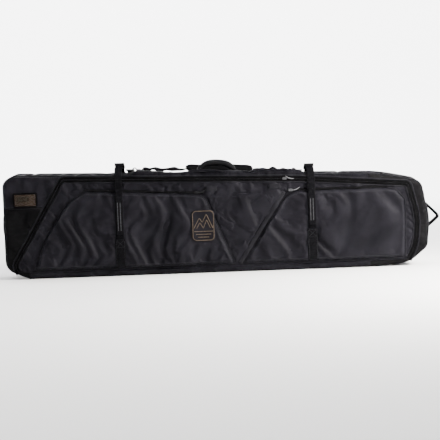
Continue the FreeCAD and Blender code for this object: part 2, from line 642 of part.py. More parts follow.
def make_sling(lean):
    """The webbing on both sides of the pad, the tri-glide on it, and the pad."""
    middle_x = (value("pad_left") + value("pad_right")) / 2
    height = value(roof_z("0 + (pad_left + pad_right) / 2")) + value("sling_rise")
    centre = Vector(middle_x, value("sling_y"), height)
    frame = Placement(centre, lean)
    tilt = Rotation(Vector(1, 0, 0), value("pad_tilt"))
    length = value("pad_right") - value("pad_left")
    width = value("pad_width")
    thick = value("pad_height")
    block = Part.makeBox(length, width, thick, Vector(-length / 2, -width / 2, -thick / 2))
    pad = doc.addObject("Part::Feature", "shoulder_pad")
    pad.Label = "shoulder_pad"
    pad.Shape = block.makeFillet(value("pad_radius"), block.Edges)
    pad.Placement = frame.multiply(Placement(Vector(0, 0, value("pad_lift")), tilt))
    PARTS.append(pad)
    band = value("sling_width")
    eye_reach = value("ring_width") / 2 + 2 * value("hook_radius") + value("sling_hook_gap")
    for side in ("left", "right"):
        ring_x = value(f"ring_{side}_x")
        sign = -1 if side == "left" else 1
        near = sign * (length / 2 + 0.5)
        far = ring_x - middle_x - sign * eye_reach
        start = Vector(min(near, far), -band / 2, -1)
        webbing = Part.makeBox(abs(far - near), band, value("webbing"), start)
        piece = doc.addObject("Part::Feature", f"sling_webbing_{side}")
        piece.Label = f"sling_webbing_{side}"
        piece.Shape = webbing
        piece.Placement = frame
        PARTS.append(piece)
    glides = []
    margin, lift = value("glide_margin"), value("glide_lift")
    plate_size = (value("glide_length"), band + 2 * margin, value("glide_height"))
    slot_size = (value("glide_slot"), band + 1, 8)
    for glide_x in (value("glide_near"), value("glide_far")):
        plate = Part.makeBox(*plate_size, Vector(glide_x, -band / 2 - margin, lift))
        opening = Part.makeBox(*slot_size, Vector(glide_x + 3, -band / 2 - 0.5, lift - 2))
        second = opening.translated(Vector(value("glide_pitch"), 0, 0))
        glides.append(plate.cut(opening).cut(second))
    glide = doc.addObject("Part::Feature", "tri_glides")
    glide.Label = "tri_glides"
    glide.Shape = Part.makeCompound(glides)
    glide.Placement = frame
    PARTS.append(glide)


def make_end_handle():
    """A folded webbing loop sewn to the nose at both ends."""
    loop = [("end_root_x", "end_top_z"), ("end_tip_x - 9", "end_tip_z + 22"),
            ("end_tip_x", "end_tip_z + 7"), ("end_tip_x", "end_tip_z - 7"),
            ("end_tip_x - 9", "end_tip_z - 20"), ("end_root_x", "end_low_z")]
    corners = strip(loop, "0 - end_webbing")
    flat = front_slab("end_loop", corners, "end_width", "end_width / 2")
    hub = doc.addObject("Part::Cylinder", "end_hub")
    hub.setExpression("Radius", named("end_width / 2"))
    hub.setExpression("Height", named("end_top_z - end_low_z + 40"))
    hub.setExpression("Placement.Base.x", named("end_root_x + end_width / 2"))
    hub.setExpression("Placement.Base.z", named("end_low_z - 20"))
    beyond = box("end_beyond", ("60", "end_width", "end_top_z - end_low_z + 40"),
                 ("end_root_x + end_width / 2", "0 - end_width / 2", "end_low_z - 20"))
    rounded_off("end_handle", flat, [hub, beyond])


# ---------------------------------------------------------------- zip sliders

def make_slider(name, x, z, slope):
    """A slider block and the moulded pull that hangs on its front, for one zip."""
    length, height = value("slider_length"), value("slider_height")
    depth = value("slider_depth")
    back_y = value("front_face") - value("tape_depth") - value("slider_clear")
    block = Part.makeBox(length, depth, height, Vector(-length / 2, -depth, -height / 2))
    block = block.makeFillet(2, [edge for edge in block.Edges if abs(edge.Curve.Direction.y) > 0.9])
    slider = doc.addObject("Part::Feature", f"{name}_slider")
    slider.Label = f"{name}_slider"
    slider.Shape = block
    slider.Placement = Placement(Vector(x, back_y, z), Rotation(Vector(0, 1, 0), slope))
    PARTS.append(slider)

    reach, width = value("pull_length"), value("pull_width")
    thick = value("pull_depth")
    pull_y = back_y - depth - 0.3
    eye = Part.makeCylinder(width / 2, thick, Vector(0, 0, 0), Vector(0, -1, 0))
    arm = Part.makeBox(reach - 10, thick, width * 0.7, Vector(0, -thick, -width * 0.35))
    tip_radius = width * 0.9
    tip = Part.makeCylinder(tip_radius, thick, Vector(reach - 8, 0, 0), Vector(0, -1, 0))
    shape = eye.fuse(arm).fuse(tip).removeSplitter()
    pull = doc.addObject("Part::Feature", f"{name}_pull")
    pull.Label = f"{name}_pull"
    pull.Shape = shape
    lift = Rotation(Vector(0, 1, 0), -value("pull_lift"))
    pull.Placement = Placement(Vector(x + length / 2 - 3, pull_y, z), lift)
    PARTS.append(pull)


def line_slope(start, end):
    """Angle of a straight zip about +Y, and a function for its height."""
    (x0, z0), (x1, z1) = [(value(u), value(v)) for u, v in (start, end)]
    rate = (z1 - z0) / (x1 - x0)
    return -math.degrees(math.atan(rate)), lambda x: z0 + (x - x0) * rate


def make_sliders():
    """One slider and pull on the main zip and on each pocket's zip."""
    pocket_lift = 1 + value("tape_width + 1") / 2
    zips = {
        "main_zip": (LID[6], LID[5], "main_slider_x", value("zip_gap") / 2),
        "left_zip": (LEFT_POCKET[4], LEFT_POCKET[3], "left_slider_x", pocket_lift),
        "right_zip": (RIGHT_POCKET[6], RIGHT_POCKET[5], "right_slider_x", pocket_lift),
    }
    for name, (start, end, slider_x, lift) in zips.items():
        angle, height_at = line_slope(start, end)
        x = value(slider_x)
        make_slider(name, x, height_at(x) + lift, angle)


# ---------------------------------------------------------------- checks and files

def check_and_write():
    """Stops on any failed feature or shape, then writes each sub-part as STEP."""
    doc.recompute()
    for item in doc.Objects:
        if "Invalid" in item.State or "Error" in item.State:
            raise RuntimeError(f"{item.Label} failed: {item.State}")
    os.makedirs("parts", exist_ok=True)
    for part in PARTS:
        if part.Shape.isNull() or not part.Shape.isValid():
            raise RuntimeError(f"{part.Label} has no valid shape")
        part.Shape.exportStep(f"parts/{part.Label}.step")
    print(f"{len(PARTS)} sub-parts written")


make_tub()
make_inside()
make_lid()
make_strap("left")
make_strap("right")
make_grab_handle()
make_shoulder_strap()
make_end_handle()
make_sliders()
check_and_write()
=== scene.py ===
import json
import math

import bmesh
import bpy
import numpy as np
from mathutils import Matrix, Vector
from mathutils.bvhtree import BVHTree
from mathutils.geometry import delaunay_2d_cdt

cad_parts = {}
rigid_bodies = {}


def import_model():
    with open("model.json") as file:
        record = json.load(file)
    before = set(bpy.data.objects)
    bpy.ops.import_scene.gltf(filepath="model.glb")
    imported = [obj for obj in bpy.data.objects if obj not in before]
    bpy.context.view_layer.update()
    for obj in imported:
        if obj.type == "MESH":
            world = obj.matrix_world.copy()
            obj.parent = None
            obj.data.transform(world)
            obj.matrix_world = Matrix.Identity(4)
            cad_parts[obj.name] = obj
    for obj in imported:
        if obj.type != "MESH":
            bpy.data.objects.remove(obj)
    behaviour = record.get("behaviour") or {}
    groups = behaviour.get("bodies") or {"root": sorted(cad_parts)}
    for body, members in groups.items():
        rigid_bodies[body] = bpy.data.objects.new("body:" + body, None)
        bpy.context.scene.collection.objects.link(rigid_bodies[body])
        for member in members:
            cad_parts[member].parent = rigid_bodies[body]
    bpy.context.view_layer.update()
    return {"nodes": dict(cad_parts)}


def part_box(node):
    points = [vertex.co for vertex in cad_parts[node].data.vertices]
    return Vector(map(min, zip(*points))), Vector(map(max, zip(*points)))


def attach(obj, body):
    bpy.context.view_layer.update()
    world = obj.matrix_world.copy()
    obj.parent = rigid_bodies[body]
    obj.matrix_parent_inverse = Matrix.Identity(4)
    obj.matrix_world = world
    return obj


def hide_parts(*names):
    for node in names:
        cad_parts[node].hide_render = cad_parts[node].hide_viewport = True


# A long padded snowboard bag: looks built round the CAD frame. Metres, +X to the nose, -Y front, +Z up.

SIDES = ("left", "right")

for leftover in list(bpy.data.objects):
    bpy.data.objects.remove(leftover)

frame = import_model()
random_numbers = np.random.default_rng(7)

# ---------------------------------------------------------------- materials


class Shader:
    """A Principled material built from a few procedural layers."""

    def __init__(self, name, colour, roughness, **sockets):
        self.material = bpy.data.materials.new(name)
        self.material.use_nodes = True
        self.tree = self.material.node_tree
        self.surface = self.tree.nodes["Principled BSDF"]
        self.surface.inputs["Base Color"].default_value = (*colour, 1)
        self.surface.inputs["Roughness"].default_value = roughness
        for socket, number in sockets.items():
            self.surface.inputs[socket.replace("_", " ")].default_value = number
        self.place = self.node("ShaderNodeTexCoord").outputs["Object"]
        self.height = None

    def node(self, kind, **settings):
        made = self.tree.nodes.new(kind)
        for key, setting in settings.items():
            setattr(made, key, setting)
        return made

    def link(self, source, target):
        self.tree.links.new(source, target)

    def noise(self, scale, detail=3.0, stretch=(1, 1, 1), roughness=0.55):
        mapping = self.node("ShaderNodeMapping")
        mapping.inputs["Scale"].default_value = stretch
        self.link(self.place, mapping.inputs["Vector"])
        made = self.node("ShaderNodeTexNoise")
        made.inputs["Scale"].default_value = scale
        made.inputs["Detail"].default_value = detail
        made.inputs["Roughness"].default_value = roughness
        self.link(mapping.outputs["Vector"], made.inputs["Vector"])
        return made.outputs["Fac"]

    def wave(self, pitch, direction, distortion=0.0):
        made = self.node("ShaderNodeTexWave", bands_direction=direction)
        made.inputs["Scale"].default_value = 0.314 / pitch / 6.2832 * 2
        made.inputs["Distortion"].default_value = distortion
        self.link(self.place, made.inputs["Vector"])
        return made.outputs["Fac"]

    def weave(self, pitch, strength, distance):
        """Crossed threads: three wave directions, so it works on every face."""
        product = None
        for direction in "XYZ":
            threads = self.wave(pitch, direction)
            if product is None:
                product = threads
                continue
            mix = self.node("ShaderNodeMath", operation="ADD")
            self.link(product, mix.inputs[0])
            self.link(threads, mix.inputs[1])
            product = mix.outputs[0]
        self.bump(product, strength, distance)

    def bump(self, height, strength, distance):
        made = self.node("ShaderNodeBump")
        made.inputs["Strength"].default_value = strength
        made.inputs["Distance"].default_value = distance
        self.link(height, made.inputs["Height"])
        if self.height is not None:
            self.link(self.height, made.inputs["Normal"])
        self.height = made.outputs["Normal"]
        self.link(self.height, self.surface.inputs["Normal"])

    def vary_colour(self, factor, dark, light, low=0.35, high=0.65):
        ramp = self.node("ShaderNodeValToRGB")
        ramp.color_ramp.elements[0].position = low
        ramp.color_ramp.elements[1].position = high
        ramp.color_ramp.elements[0].color = (*dark, 1)
        ramp.color_ramp.elements[1].color = (*light, 1)
        self.link(factor, ramp.inputs["Fac"])
        self.link(ramp.outputs["Color"], self.surface.inputs["Base Color"])
        return ramp

    def vary_roughness(self, factor, low, high):
        span = self.node("ShaderNodeMapRange")
        span.inputs["To Min"].default_value = low
        span.inputs["To Max"].default_value = high
        self.link(factor, span.inputs["Value"])
        self.link(span.outputs["Result"], self.surface.inputs["Roughness"])


def coated_fabric(name, dark, light, roughness=(0.50, 0.64)):
    """Woven nylon with a soft coating; most of its brightness is gloss."""
    shader = Shader(name, light, 0.5)
    shader.surface.inputs["IOR"].default_value = 1.11
    shader.vary_colour(shader.noise(14, 5), dark, light)
    shader.vary_roughness(shader.noise(60, 4), *roughness)
    shader.bump(shader.noise(55, 4, (1, 1, 0.35)), 0.35, 0.0012)
    shader.weave(0.0011, 0.25, 0.0002)
    return shader.material


def ribbed_webbing(name, colour, direction="Z"):
    shader = Shader(name, colour, 0.7)
    shader.surface.inputs["Specular IOR Level"].default_value = 0.0
    lighter = tuple(c * 1.6 + 0.002 for c in colour)
    shader.vary_colour(shader.noise(160, 3), colour, lighter)
    shader.bump(shader.wave(0.0022, direction, 0.4), 0.6, 0.0004)
    shader.weave(0.0012, 0.5, 0.0003)
    return shader.material


def moulded_plastic(name, colour, roughness=0.38):
    shader = Shader(name, colour, roughness)
    shader.surface.inputs["IOR"].default_value = 1.16
    shader.vary_roughness(shader.noise(300, 3), roughness - 0.06, roughness + 0.1)
    shader.bump(shader.noise(1800, 2), 0.12, 0.0001)
    return shader.material


SHELL = coated_fabric("shell_fabric", (0.0036, 0.0034, 0.0047), (0.0074, 0.0070, 0.0092))
HEADER = coated_fabric("header_fabric", (0.0020, 0.0019, 0.0028), (0.0038, 0.0036, 0.0050), (0.6, 0.75))
NOSE = coated_fabric("nose_fabric", (0.0020, 0.0019, 0.0023), (0.0034, 0.0033, 0.0037), (0.65, 0.8))
EDGE = coated_fabric("piping_fabric", (0.0046, 0.0045, 0.0058), (0.0078, 0.0076, 0.0092), (0.48, 0.6))
GUARD = coated_fabric("guard_fabric", (0.0016, 0.0016, 0.0019), (0.0030, 0.0030, 0.0033), (0.7, 0.85))
LINING = coated_fabric("lining_fabric", (0.035, 0.035, 0.04), (0.05, 0.05, 0.056), (0.6, 0.75))
WEBBING = ribbed_webbing("webbing", (0.0018, 0.0018, 0.0022))
GRIP = coated_fabric("grip_fabric", (0.0034, 0.0034, 0.0040), (0.0062, 0.0062, 0.0070), (0.6, 0.7))
PADDING = ribbed_webbing("pad_mesh", (0.0014, 0.0014, 0.0016))
PLASTIC = moulded_plastic("buckle_plastic", (0.004, 0.004, 0.0045), 0.5)
DARK_PULL = moulded_plastic("dark_pull", (0.006, 0.006, 0.0065), 0.5)
PULL = moulded_plastic("pull_rubber", (0.085, 0.085, 0.09), 0.7)
COIL = moulded_plastic("zip_coil", (0.0022, 0.0022, 0.0026), 0.5)


def painted_metal():
    shader = Shader("dark_metal", (0.035, 0.035, 0.038), 0.45, Metallic=0.6)
    shader.vary_roughness(shader.noise(500, 3), 0.38, 0.55)
    shader.bump(shader.noise(900, 2), 0.1, 0.0001)
    return shader.material


def clear_film():
    shader = Shader("window_film", (0.02, 0.016, 0.012), 0.3, Alpha=0.3)
    shader.surface.inputs["IOR"].default_value = 1.2
    shader.vary_roughness(shader.noise(60, 3), 0.12, 0.3)
    shader.bump(shader.noise(30, 2), 0.2, 0.001)
    return shader.material


def blank_card():
    shader = Shader("window_insert", (0.0110, 0.0082, 0.0056), 0.7)
    shader.surface.inputs["IOR"].default_value = 1.15
    shader.vary_colour(shader.noise(20, 2), (0.0105, 0.0078, 0.0052), (0.0135, 0.0100, 0.0068))
    shader.vary_roughness(shader.noise(50, 2), 0.6, 0.75)
    shader.bump(shader.noise(300, 2), 0.1, 0.0001)
    return shader.material


METAL = painted_metal()
FILM = clear_film()
INSERT = blank_card()
THREAD = coated_fabric("stitch_thread", (0.018, 0.018, 0.021), (0.030, 0.030, 0.034), (0.6, 0.75))
TAPE = ribbed_webbing("zip_tape", (0.0013, 0.0013, 0.0015))
STRIPE = ribbed_webbing("strap_stripe", (0.022, 0.022, 0.024))
BADGE_THREAD = ribbed_webbing("badge_thread", (0.042, 0.032, 0.023))
CARD = coated_fabric("window_card", (0.018, 0.012, 0.009), (0.030, 0.021, 0.016), (0.4, 0.5))


def paint(target, *materials):
    """Gives an object these materials in order, or every slot the first one."""
    if target.data.materials and len(materials) == 1:
        for index in range(len(target.data.materials)):
            target.data.materials[index] = materials[0]
        return
    target.data.materials.clear()
    for material in materials:
        target.data.materials.append(material)


# ---------------------------------------------------------------- mesh helpers

FLATNESS = 2e-4  # how far behind the foremost corner a flat face may lie


def face_outwards(mesh):
    """Turns the faces of a closed mesh outwards; open sheets keep their facing."""
    work = bmesh.new()
    work.from_mesh(mesh)
    if all(len(edge.link_faces) == 2 for edge in work.edges):
        bmesh.ops.recalc_face_normals(work, faces=work.faces)
        work.to_mesh(mesh)
    work.free()


def new_object(name, vertices, faces, material, body, slot_name, nodes=(), smooth=True):
    """A mesh piece that rides on a CAD body and stands for the nodes named."""
    mesh = bpy.data.meshes.new(name)
    mesh.from_pydata([tuple(map(float, v)) for v in vertices], [], [tuple(map(int, f)) for f in faces])
    mesh.validate()
    face_outwards(mesh)
    piece = bpy.data.objects.new(name, mesh)
    bpy.context.scene.collection.objects.link(piece)
    paint(piece, material)
    mesh.polygons.foreach_set("use_smooth", [smooth] * len(mesh.polygons))
    if body:
        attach(piece, body)
    if nodes:
        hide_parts(*nodes)
    return piece


def apply_modifiers(piece):
    """Turns the evaluated mesh into the piece's own mesh."""
    bpy.context.view_layer.update()
    graph = bpy.context.evaluated_depsgraph_get()
    fresh = bpy.data.meshes.new_from_object(piece.evaluated_get(graph))
    old = piece.data
    piece.modifiers.clear()
    piece.data = fresh
    bpy.data.meshes.remove(old)
    return piece


def modify(piece, kind, **settings):
    modifier = piece.modifiers.new(kind.title(), kind)
    for key, setting in settings.items():
        setattr(modifier, key, setting)
    return modifier


def subdivide(piece):
    modify(piece, "SUBSURF", levels=1, render_levels=1)
    return piece


def thicken(piece, thickness, offset=1.0, inner_slot=None):
    """Gives a sheet a thickness behind it; the inside can take another material."""
    solid = modify(piece, "SOLIDIFY", thickness=thickness, offset=-offset, use_even_offset=False)
    if inner_slot is not None:
        solid.material_offset = inner_slot
        solid.material_offset_rim = 0
    return apply_modifiers(piece)


def from_leftmost(ring):
    """The same closed outline, starting at its leftmost point, so that every run gives the same order."""
    return np.roll(ring, -np.lexsort((ring[:, 1], ring[:, 0].round(6)))[0], axis=0)


def outline_ring(node, axis, sign=1):
    """The ordered corners of the flat side of a CAD node that faces along one axis, in the other two axes."""
    mesh = bmesh.new()
    mesh.from_mesh(frame["nodes"][node].data)
    bmesh.ops.remove_doubles(mesh, verts=mesh.verts, dist=1e-5)
    mesh.normal_update()
    level = max(v.co[axis] * sign for v in mesh.verts) - FLATNESS
    chosen = {f for f in mesh.faces
              if f.normal[axis] * sign > 0.95 and f.calc_center_median()[axis] * sign > level}
    after = {}
    for face in chosen:
        for loop in face.loops:
            if sum(f in chosen for f in loop.edge.link_faces) == 1:
                after[loop.vert.index] = loop.edge.other_vert(loop.vert).index
    mesh.verts.ensure_lookup_table()
    rings = []
    while after:
        start = next(iter(after))
        ring, current = [start], after.pop(start)
        while current != start and current in after:
            ring.append(current)
            current = after.pop(current)
        corners = [[c for k, c in enumerate(mesh.verts[i].co) if k != axis] for i in ring]
        rings.append(from_leftmost(np.array(corners)))
    mesh.free()
    return sorted(rings, key=lambda ring: ring[:, 0].min())


def face_outline(node, back=False):
    """The corner points (x, z) of a CAD node's front or back face, anticlockwise."""
    points = outline_ring(node, 1, 1 if back else -1)[0]
    after = np.roll(points, -1, axis=0)
    area = np.sum(points[:, 0] * after[:, 1] - after[:, 0] * points[:, 1])
    return from_leftmost(points if area > 0 else points[::-1])


def resampled(points, spacing, closed=True):
    """Points along a polyline at an even spacing; sharp corners are kept."""
    ring = np.vstack([points, points[:1]]) if closed else np.array(points)
    out = []
    for start, end in zip(ring[:-1], ring[1:]):
        steps = max(1, int(round(np.linalg.norm(end - start) / spacing)))
        for k in range(steps):
            out.append(start + (end - start) * k / steps)
    if not closed:
        out.append(ring[-1])
    return np.array(out)


def at_depth(flat, y):
    """Points (x, z) placed at the depth y."""
    return np.column_stack([flat[:, 0], np.broadcast_to(y, len(flat)), flat[:, 1]])


def distance_to(points, ring, closed=True):
    """Distance from each point to a polyline."""
    nodes = np.vstack([ring, ring[:1]]) if closed else np.array(ring)
    best = np.full(len(points), 1e9)
    for a, b in zip(nodes[:-1], nodes[1:]):
        run = b - a
        along = np.clip(((points - a) @ run) / max(run @ run, 1e-12), 0, 1)
        gap = np.linalg.norm(points - a - along[:, None] * run, axis=1)
        best = np.minimum(best, gap)
    return best


def inside(points, ring):
    """Which points lie inside a closed outline."""
    result = np.zeros(len(points), bool)
    for a, b in zip(ring, np.roll(ring, -1, axis=0)):
        crosses = (a[1] > points[:, 1]) != (b[1] > points[:, 1])
        with np.errstate(divide="ignore", invalid="ignore"):
            x = (b[0] - a[0]) * (points[:, 1] - a[1]) / (b[1] - a[1]) + a[0]
        result ^= crosses & (points[:, 0] < x)
    return result


def patch(outline, spacing, hole=None, seams=(), ring_spacing=None):
    """Triangles that fill an outline, round an optional hole, with extra seam lines kept as edges."""
    ring = resampled(outline, ring_spacing or spacing)
    points = [ring]
    edges = [(k, (k + 1) % len(ring)) for k in range(len(ring))]
    count = len(ring)
    closed_lines = [] if hole is None else [resampled(hole, ring_spacing or spacing)]
    for line in closed_lines:
        edges += [(count + k, count + (k + 1) % len(line)) for k in range(len(line))]
        points.append(line)
        count += len(line)
    for seam in seams:
        line = resampled(seam, spacing, closed=False)
        edges += [(count + k, count + k + 1) for k in range(len(line) - 1)]
        points.append(line)
        count += len(line)
    low, high = outline.min(axis=0), outline.max(axis=0)
    rise = spacing * 0.866
    rows = np.arange(low[1] + rise * 0.6, high[1], rise)
    grid = []
    for index, z in enumerate(rows):
        x = np.arange(low[0] + spacing * (0.5 + 0.5 * (index % 2)), high[0], spacing)
        grid.append(np.column_stack([x, np.full(len(x), z)]))
    grid = np.vstack(grid)
    grid += random_numbers.uniform(-0.18, 0.18, grid.shape) * spacing
    grid = grid[inside(grid, outline)]
    if hole is not None:
        grid = grid[~inside(grid, hole)]
    for index, line in enumerate(points):
        grid = grid[distance_to(grid, line, closed=index <= len(closed_lines)) > spacing * 0.55]
    points.append(grid)
    cloud = np.vstack(points)
    result = delaunay_2d_cdt([Vector(p) for p in cloud], edges, [list(range(len(ring)))], 1, 1e-7)
    vertices = np.array([list(v) for v in result[0]])
    faces = np.array([f for f in result[2] if len(f) == 3])
    if hole is not None:
        faces = faces[~inside(vertices[faces].mean(axis=1), hole)]
    used = np.unique(faces)
    renumber = np.full(len(vertices), -1)
    renumber[used] = np.arange(len(used))
    return vertices[used], renumber[faces]


def grown(outline, amount):
    """The outline moved outwards by amount, corner by corner."""
    before = np.roll(outline, 1, axis=0)
    after = np.roll(outline, -1, axis=0)
    first = outline - before
    second = after - outline
    first /= np.linalg.norm(first, axis=1)[:, None]
    second /= np.linalg.norm(second, axis=1)[:, None]
    normal_a = np.column_stack([first[:, 1], -first[:, 0]])
    normal_b = np.column_stack([second[:, 1], -second[:, 0]])
    mean = normal_a + normal_b
    mean /= np.sum(mean * normal_a, axis=1)[:, None]
    return outline + mean * amount


NEAR_FLOOR = 0.045
BEND_STEP = 0.006


def softened(ring, reach, low_reach=0.010):
    """A closed outline with its corners rounded; reach is the most a bend may take of each side.

    Corners near the floor take low_reach instead.
    """
    out = []
    count = len(ring)
    for k in range(count):
        before, here, after = ring[k - 1], ring[k], ring[(k + 1) % count]
        back, ahead = before - here, after - here
        long_back, long_ahead = np.linalg.norm(back), np.linalg.norm(ahead)
        turn = (back @ ahead) / (long_back * long_ahead)
        if turn < -0.9995:
            out.append(here)
            continue
        cut = min(low_reach if here[1] < NEAR_FLOOR else reach, 0.45 * long_back, 0.45 * long_ahead)
        start, end = here + back / long_back * cut, here + ahead / long_ahead * cut
        steps = max(2, int(cut / BEND_STEP))
        for j in range(steps + 1):
            t = j / steps
            out.append(start * (1 - t) ** 2 + here * 2 * t * (1 - t) + end * t**2)
    return np.array(out)


def sagged(ring):
    """The tail's upper corner hangs a little, as an empty corner does, and the roof beside it swells."""
    end = ring[:, 0].min()
    share = 1 - smooth_step(ring[:, 0], end, end + 0.26)
    high = smooth_step(ring[:, 1], 0.30, 0.42)
    moved = ring.copy()
    moved[:, 1] -= 0.016 * share**1.5 * high
    swell = smooth_step(ring[:, 0], end + 0.02, end + 0.17)
    swell *= 1 - smooth_step(ring[:, 0], end + 0.33, end + 0.43)
    moved[:, 1] += 0.015 * swell * high
    moved[:, 0] += 0.006 * share * smooth_step(ring[:, 1], 0.24, 0.42)
    return moved


def smooth_step(value, low, high):
    """0 below low, 1 above high, smooth between."""
    t = np.clip((value - low) / (high - low), 0, 1)
    return t * t * (3 - 2 * t)


# ---------------------------------------------------------------- cloth

CLOTH = {"quality": 4, "mass": 0.25, "air_damping": 3,
         "tension_stiffness": 18, "compression_stiffness": 18, "shear_stiffness": 9,
         "tension_damping": 12, "compression_damping": 12, "shear_damping": 12}
SLACK_LEVELS = 16


def crumple(piece, pinned, slack, pressure=0.3, frames=20, bending=8.0, hold=0.1, anchor=0.5):
    """Runs the sheet as cloth cut too large by slack.

    Pinned points stay; padding holds the rest loosely in place.
    """
    most = float(slack.max())
    group = piece.vertex_groups.new(name="pin")
    group.add([int(i) for i in np.nonzero(pinned)[0]], 1.0, "REPLACE")
    group.add([int(i) for i in np.nonzero(~pinned)[0]], hold, "REPLACE")
    loose = piece.vertex_groups.new(name="slack")
    levels = np.round((1 - slack / most) * SLACK_LEVELS).astype(int)
    for level in range(SLACK_LEVELS + 1):
        loose.add([int(i) for i in np.nonzero(levels == level)[0]], level / SLACK_LEVELS, "REPLACE")
    cloth = modify(piece, "CLOTH")
    settings = cloth.settings
    for setting, number in CLOTH.items():
        setattr(settings, setting, number)
    settings.bending_stiffness = bending
    settings.vertex_group_mass = "pin"
    settings.pin_stiffness = anchor
    settings.vertex_group_shrink = "slack"
    settings.shrink_min = -most
    settings.shrink_max = 0
    settings.use_pressure = True
    settings.uniform_pressure_force = pressure
    settings.effector_weights.gravity = 0
    cloth.collision_settings.use_collision = False
    cloth.point_cache.frame_start = 1
    cloth.point_cache.frame_end = frames
    scene = bpy.context.scene
    for step in range(1, frames + 1):
        scene.frame_set(step)
    graph = bpy.context.evaluated_depsgraph_get()
    shaped = piece.evaluated_get(graph).data
    moved = np.empty(len(shaped.vertices) * 3, np.float32)
    shaped.vertices.foreach_get("co", moved)
    piece.modifiers.clear()
    piece.vertex_groups.clear()
    scene.frame_set(1)
    return moved.reshape(-1, 3).astype(float)


def set_points(piece, points):
    piece.data.vertices.foreach_set("co", np.asarray(points, np.float32).ravel())
    piece.data.update()


def limited(moved, start, reach):
    """The move of each point, kept under reach."""
    step = moved - start
    length = np.linalg.norm(step, axis=1)
    scale = np.minimum(1.0, reach / np.maximum(length, 1e-9))
    return start + step * scale[:, None]


# ---------------------------------------------------------------- tub

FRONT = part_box("lid_panel")[0][1]
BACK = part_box("back_panel")[1][1]
OUTER = sagged(softened(face_outline("back_panel", back=True), 0.050, 0.035))
LID = softened(face_outline("lid_panel"), 0.055)
MOUTH = grown(LID, 0.0015)
FRONT_RADIUS = 0.015
BACK_RADIUS = 0.012
WALL = 0.008
TUB_SPACING = 0.009
STRAP_SPAN = (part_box("strap_front_left")[1][0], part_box("strap_front_right")[0][0])


def rounding(depth, radius):
    """How far the surface falls back near a rounded edge."""
    lack = np.clip(radius - depth, 0, radius)
    return radius - np.sqrt(np.maximum(radius**2 - lack**2, 0))


def ring_normals(ring):
    """The outward direction at each point of a closed outline."""
    run = np.roll(ring, -1, axis=0) - np.roll(ring, 1, axis=0)
    run /= np.linalg.norm(run, axis=1)[:, None]
    return np.column_stack([run[:, 1], -run[:, 0]])


def vertical_seam(x, top):
    """The short seam across the tub's front margin, above or below the mouth."""
    def height(ring):
        crossings = []
        for a, b in zip(ring, np.roll(ring, -1, axis=0)):
            if (a[0] - x) * (b[0] - x) <= 0 and abs(b[0] - a[0]) > 1e-9:
                crossings.append(a[1] + (b[1] - a[1]) * (x - a[0]) / (b[0] - a[0]))
        return max(crossings) if top else min(crossings)
    return np.array([[x, height(MOUTH)], [x, height(OUTER)]])


TAIL_EDGE, NOSE_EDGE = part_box("zip_header_strip")[0][0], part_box("zip_header_strip")[1][0]
FLOOR_LEFT, FLOOR_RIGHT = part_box("lower_front_strip")[0][0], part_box("lower_front_strip")[1][0]
GUARD_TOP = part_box("document_window")[0][2] - 0.004
GUARD_ROW = [np.interp(GUARD_TOP, ring[:, 1], ring[:, 0]) for ring in (
    np.array([[OUTER[:, 0].min(), 0.0], [OUTER[:, 0].min() + 0.001, 1.0]]),
    np.array([MOUTH[np.argmin(MOUTH[:, 0])], MOUTH[(MOUTH[:, 0] < -0.6) & (MOUTH[:, 1] > 0.37)][-1]]))]
TUB_SEAMS = [vertical_seam(TAIL_EDGE + 0.0015, True), vertical_seam(NOSE_EDGE, True),
             vertical_seam(FLOOR_LEFT, False), vertical_seam(FLOOR_RIGHT, False),
             np.array([[GUARD_ROW[0] + 0.004, GUARD_TOP], [GUARD_ROW[1] - 0.001, GUARD_TOP]])]


def tub_surface():
    """The whole outer skin of the tub at rest, with a region number for each face."""
    ring = resampled(OUTER, TUB_SPACING)
    normals = ring_normals(ring)
    flat, front_faces = patch(OUTER, TUB_SPACING, hole=MOUTH, seams=TUB_SEAMS)
    front_y = FRONT + rounding(distance_to(flat, OUTER), FRONT_RADIUS)
    vertices = [at_depth(flat, front_y)]
    faces = [front_faces]
    zones = [flat[front_faces].mean(axis=1)]
    count = len(flat)
    start, end = FRONT + FRONT_RADIUS, BACK - BACK_RADIUS
    rows = int(round((end - start) / TUB_SPACING))
    for row in range(rows + 1):
        t = row / rows
        bulge = 0.0025 * math.sin(math.pi * t) * smooth_step(ring[:, 1], 0.02, 0.09)
        place = ring + normals * np.reshape(bulge, (-1, 1))
        vertices.append(at_depth(place, start + (end - start) * t))
    size = len(ring)
    strip = []
    for row in range(rows):
        for k in range(size):
            a, b = count + row * size + k, count + row * size + (k + 1) % size
            c, d = b + size, a + size
            strip += [(a, d, b), (b, d, c)] if (row + k) % 2 else [(a, d, c), (a, c, b)]
            zones.append(np.tile((ring[k] + ring[(k + 1) % size]) / 2, (2, 1)))
    faces.append(np.array(strip))
    count += size * (rows + 1)
    flat, back_faces = patch(OUTER, TUB_SPACING * 1.6, ring_spacing=TUB_SPACING)
    back_y = BACK - rounding(distance_to(flat, OUTER), BACK_RADIUS)
    vertices.append(at_depth(flat, back_y))
    faces.append(back_faces[:, ::-1] + count)
    zones.append(flat[back_faces].mean(axis=1))
    return np.vstack(vertices), np.vstack(faces), np.vstack(zones)


def welded(vertices, faces, zones):
    """Merges points that coincide."""
    keys = np.round(vertices / 2e-5).astype(np.int64)
    _, first, inverse = np.unique(keys, axis=0, return_index=True, return_inverse=True)
    faces = np.asarray(inverse).ravel()[faces]
    good = (faces[:, 0] != faces[:, 1]) & (faces[:, 1] != faces[:, 2]) & (faces[:, 2] != faces[:, 0])
    return vertices[first], faces[good], zones[good]


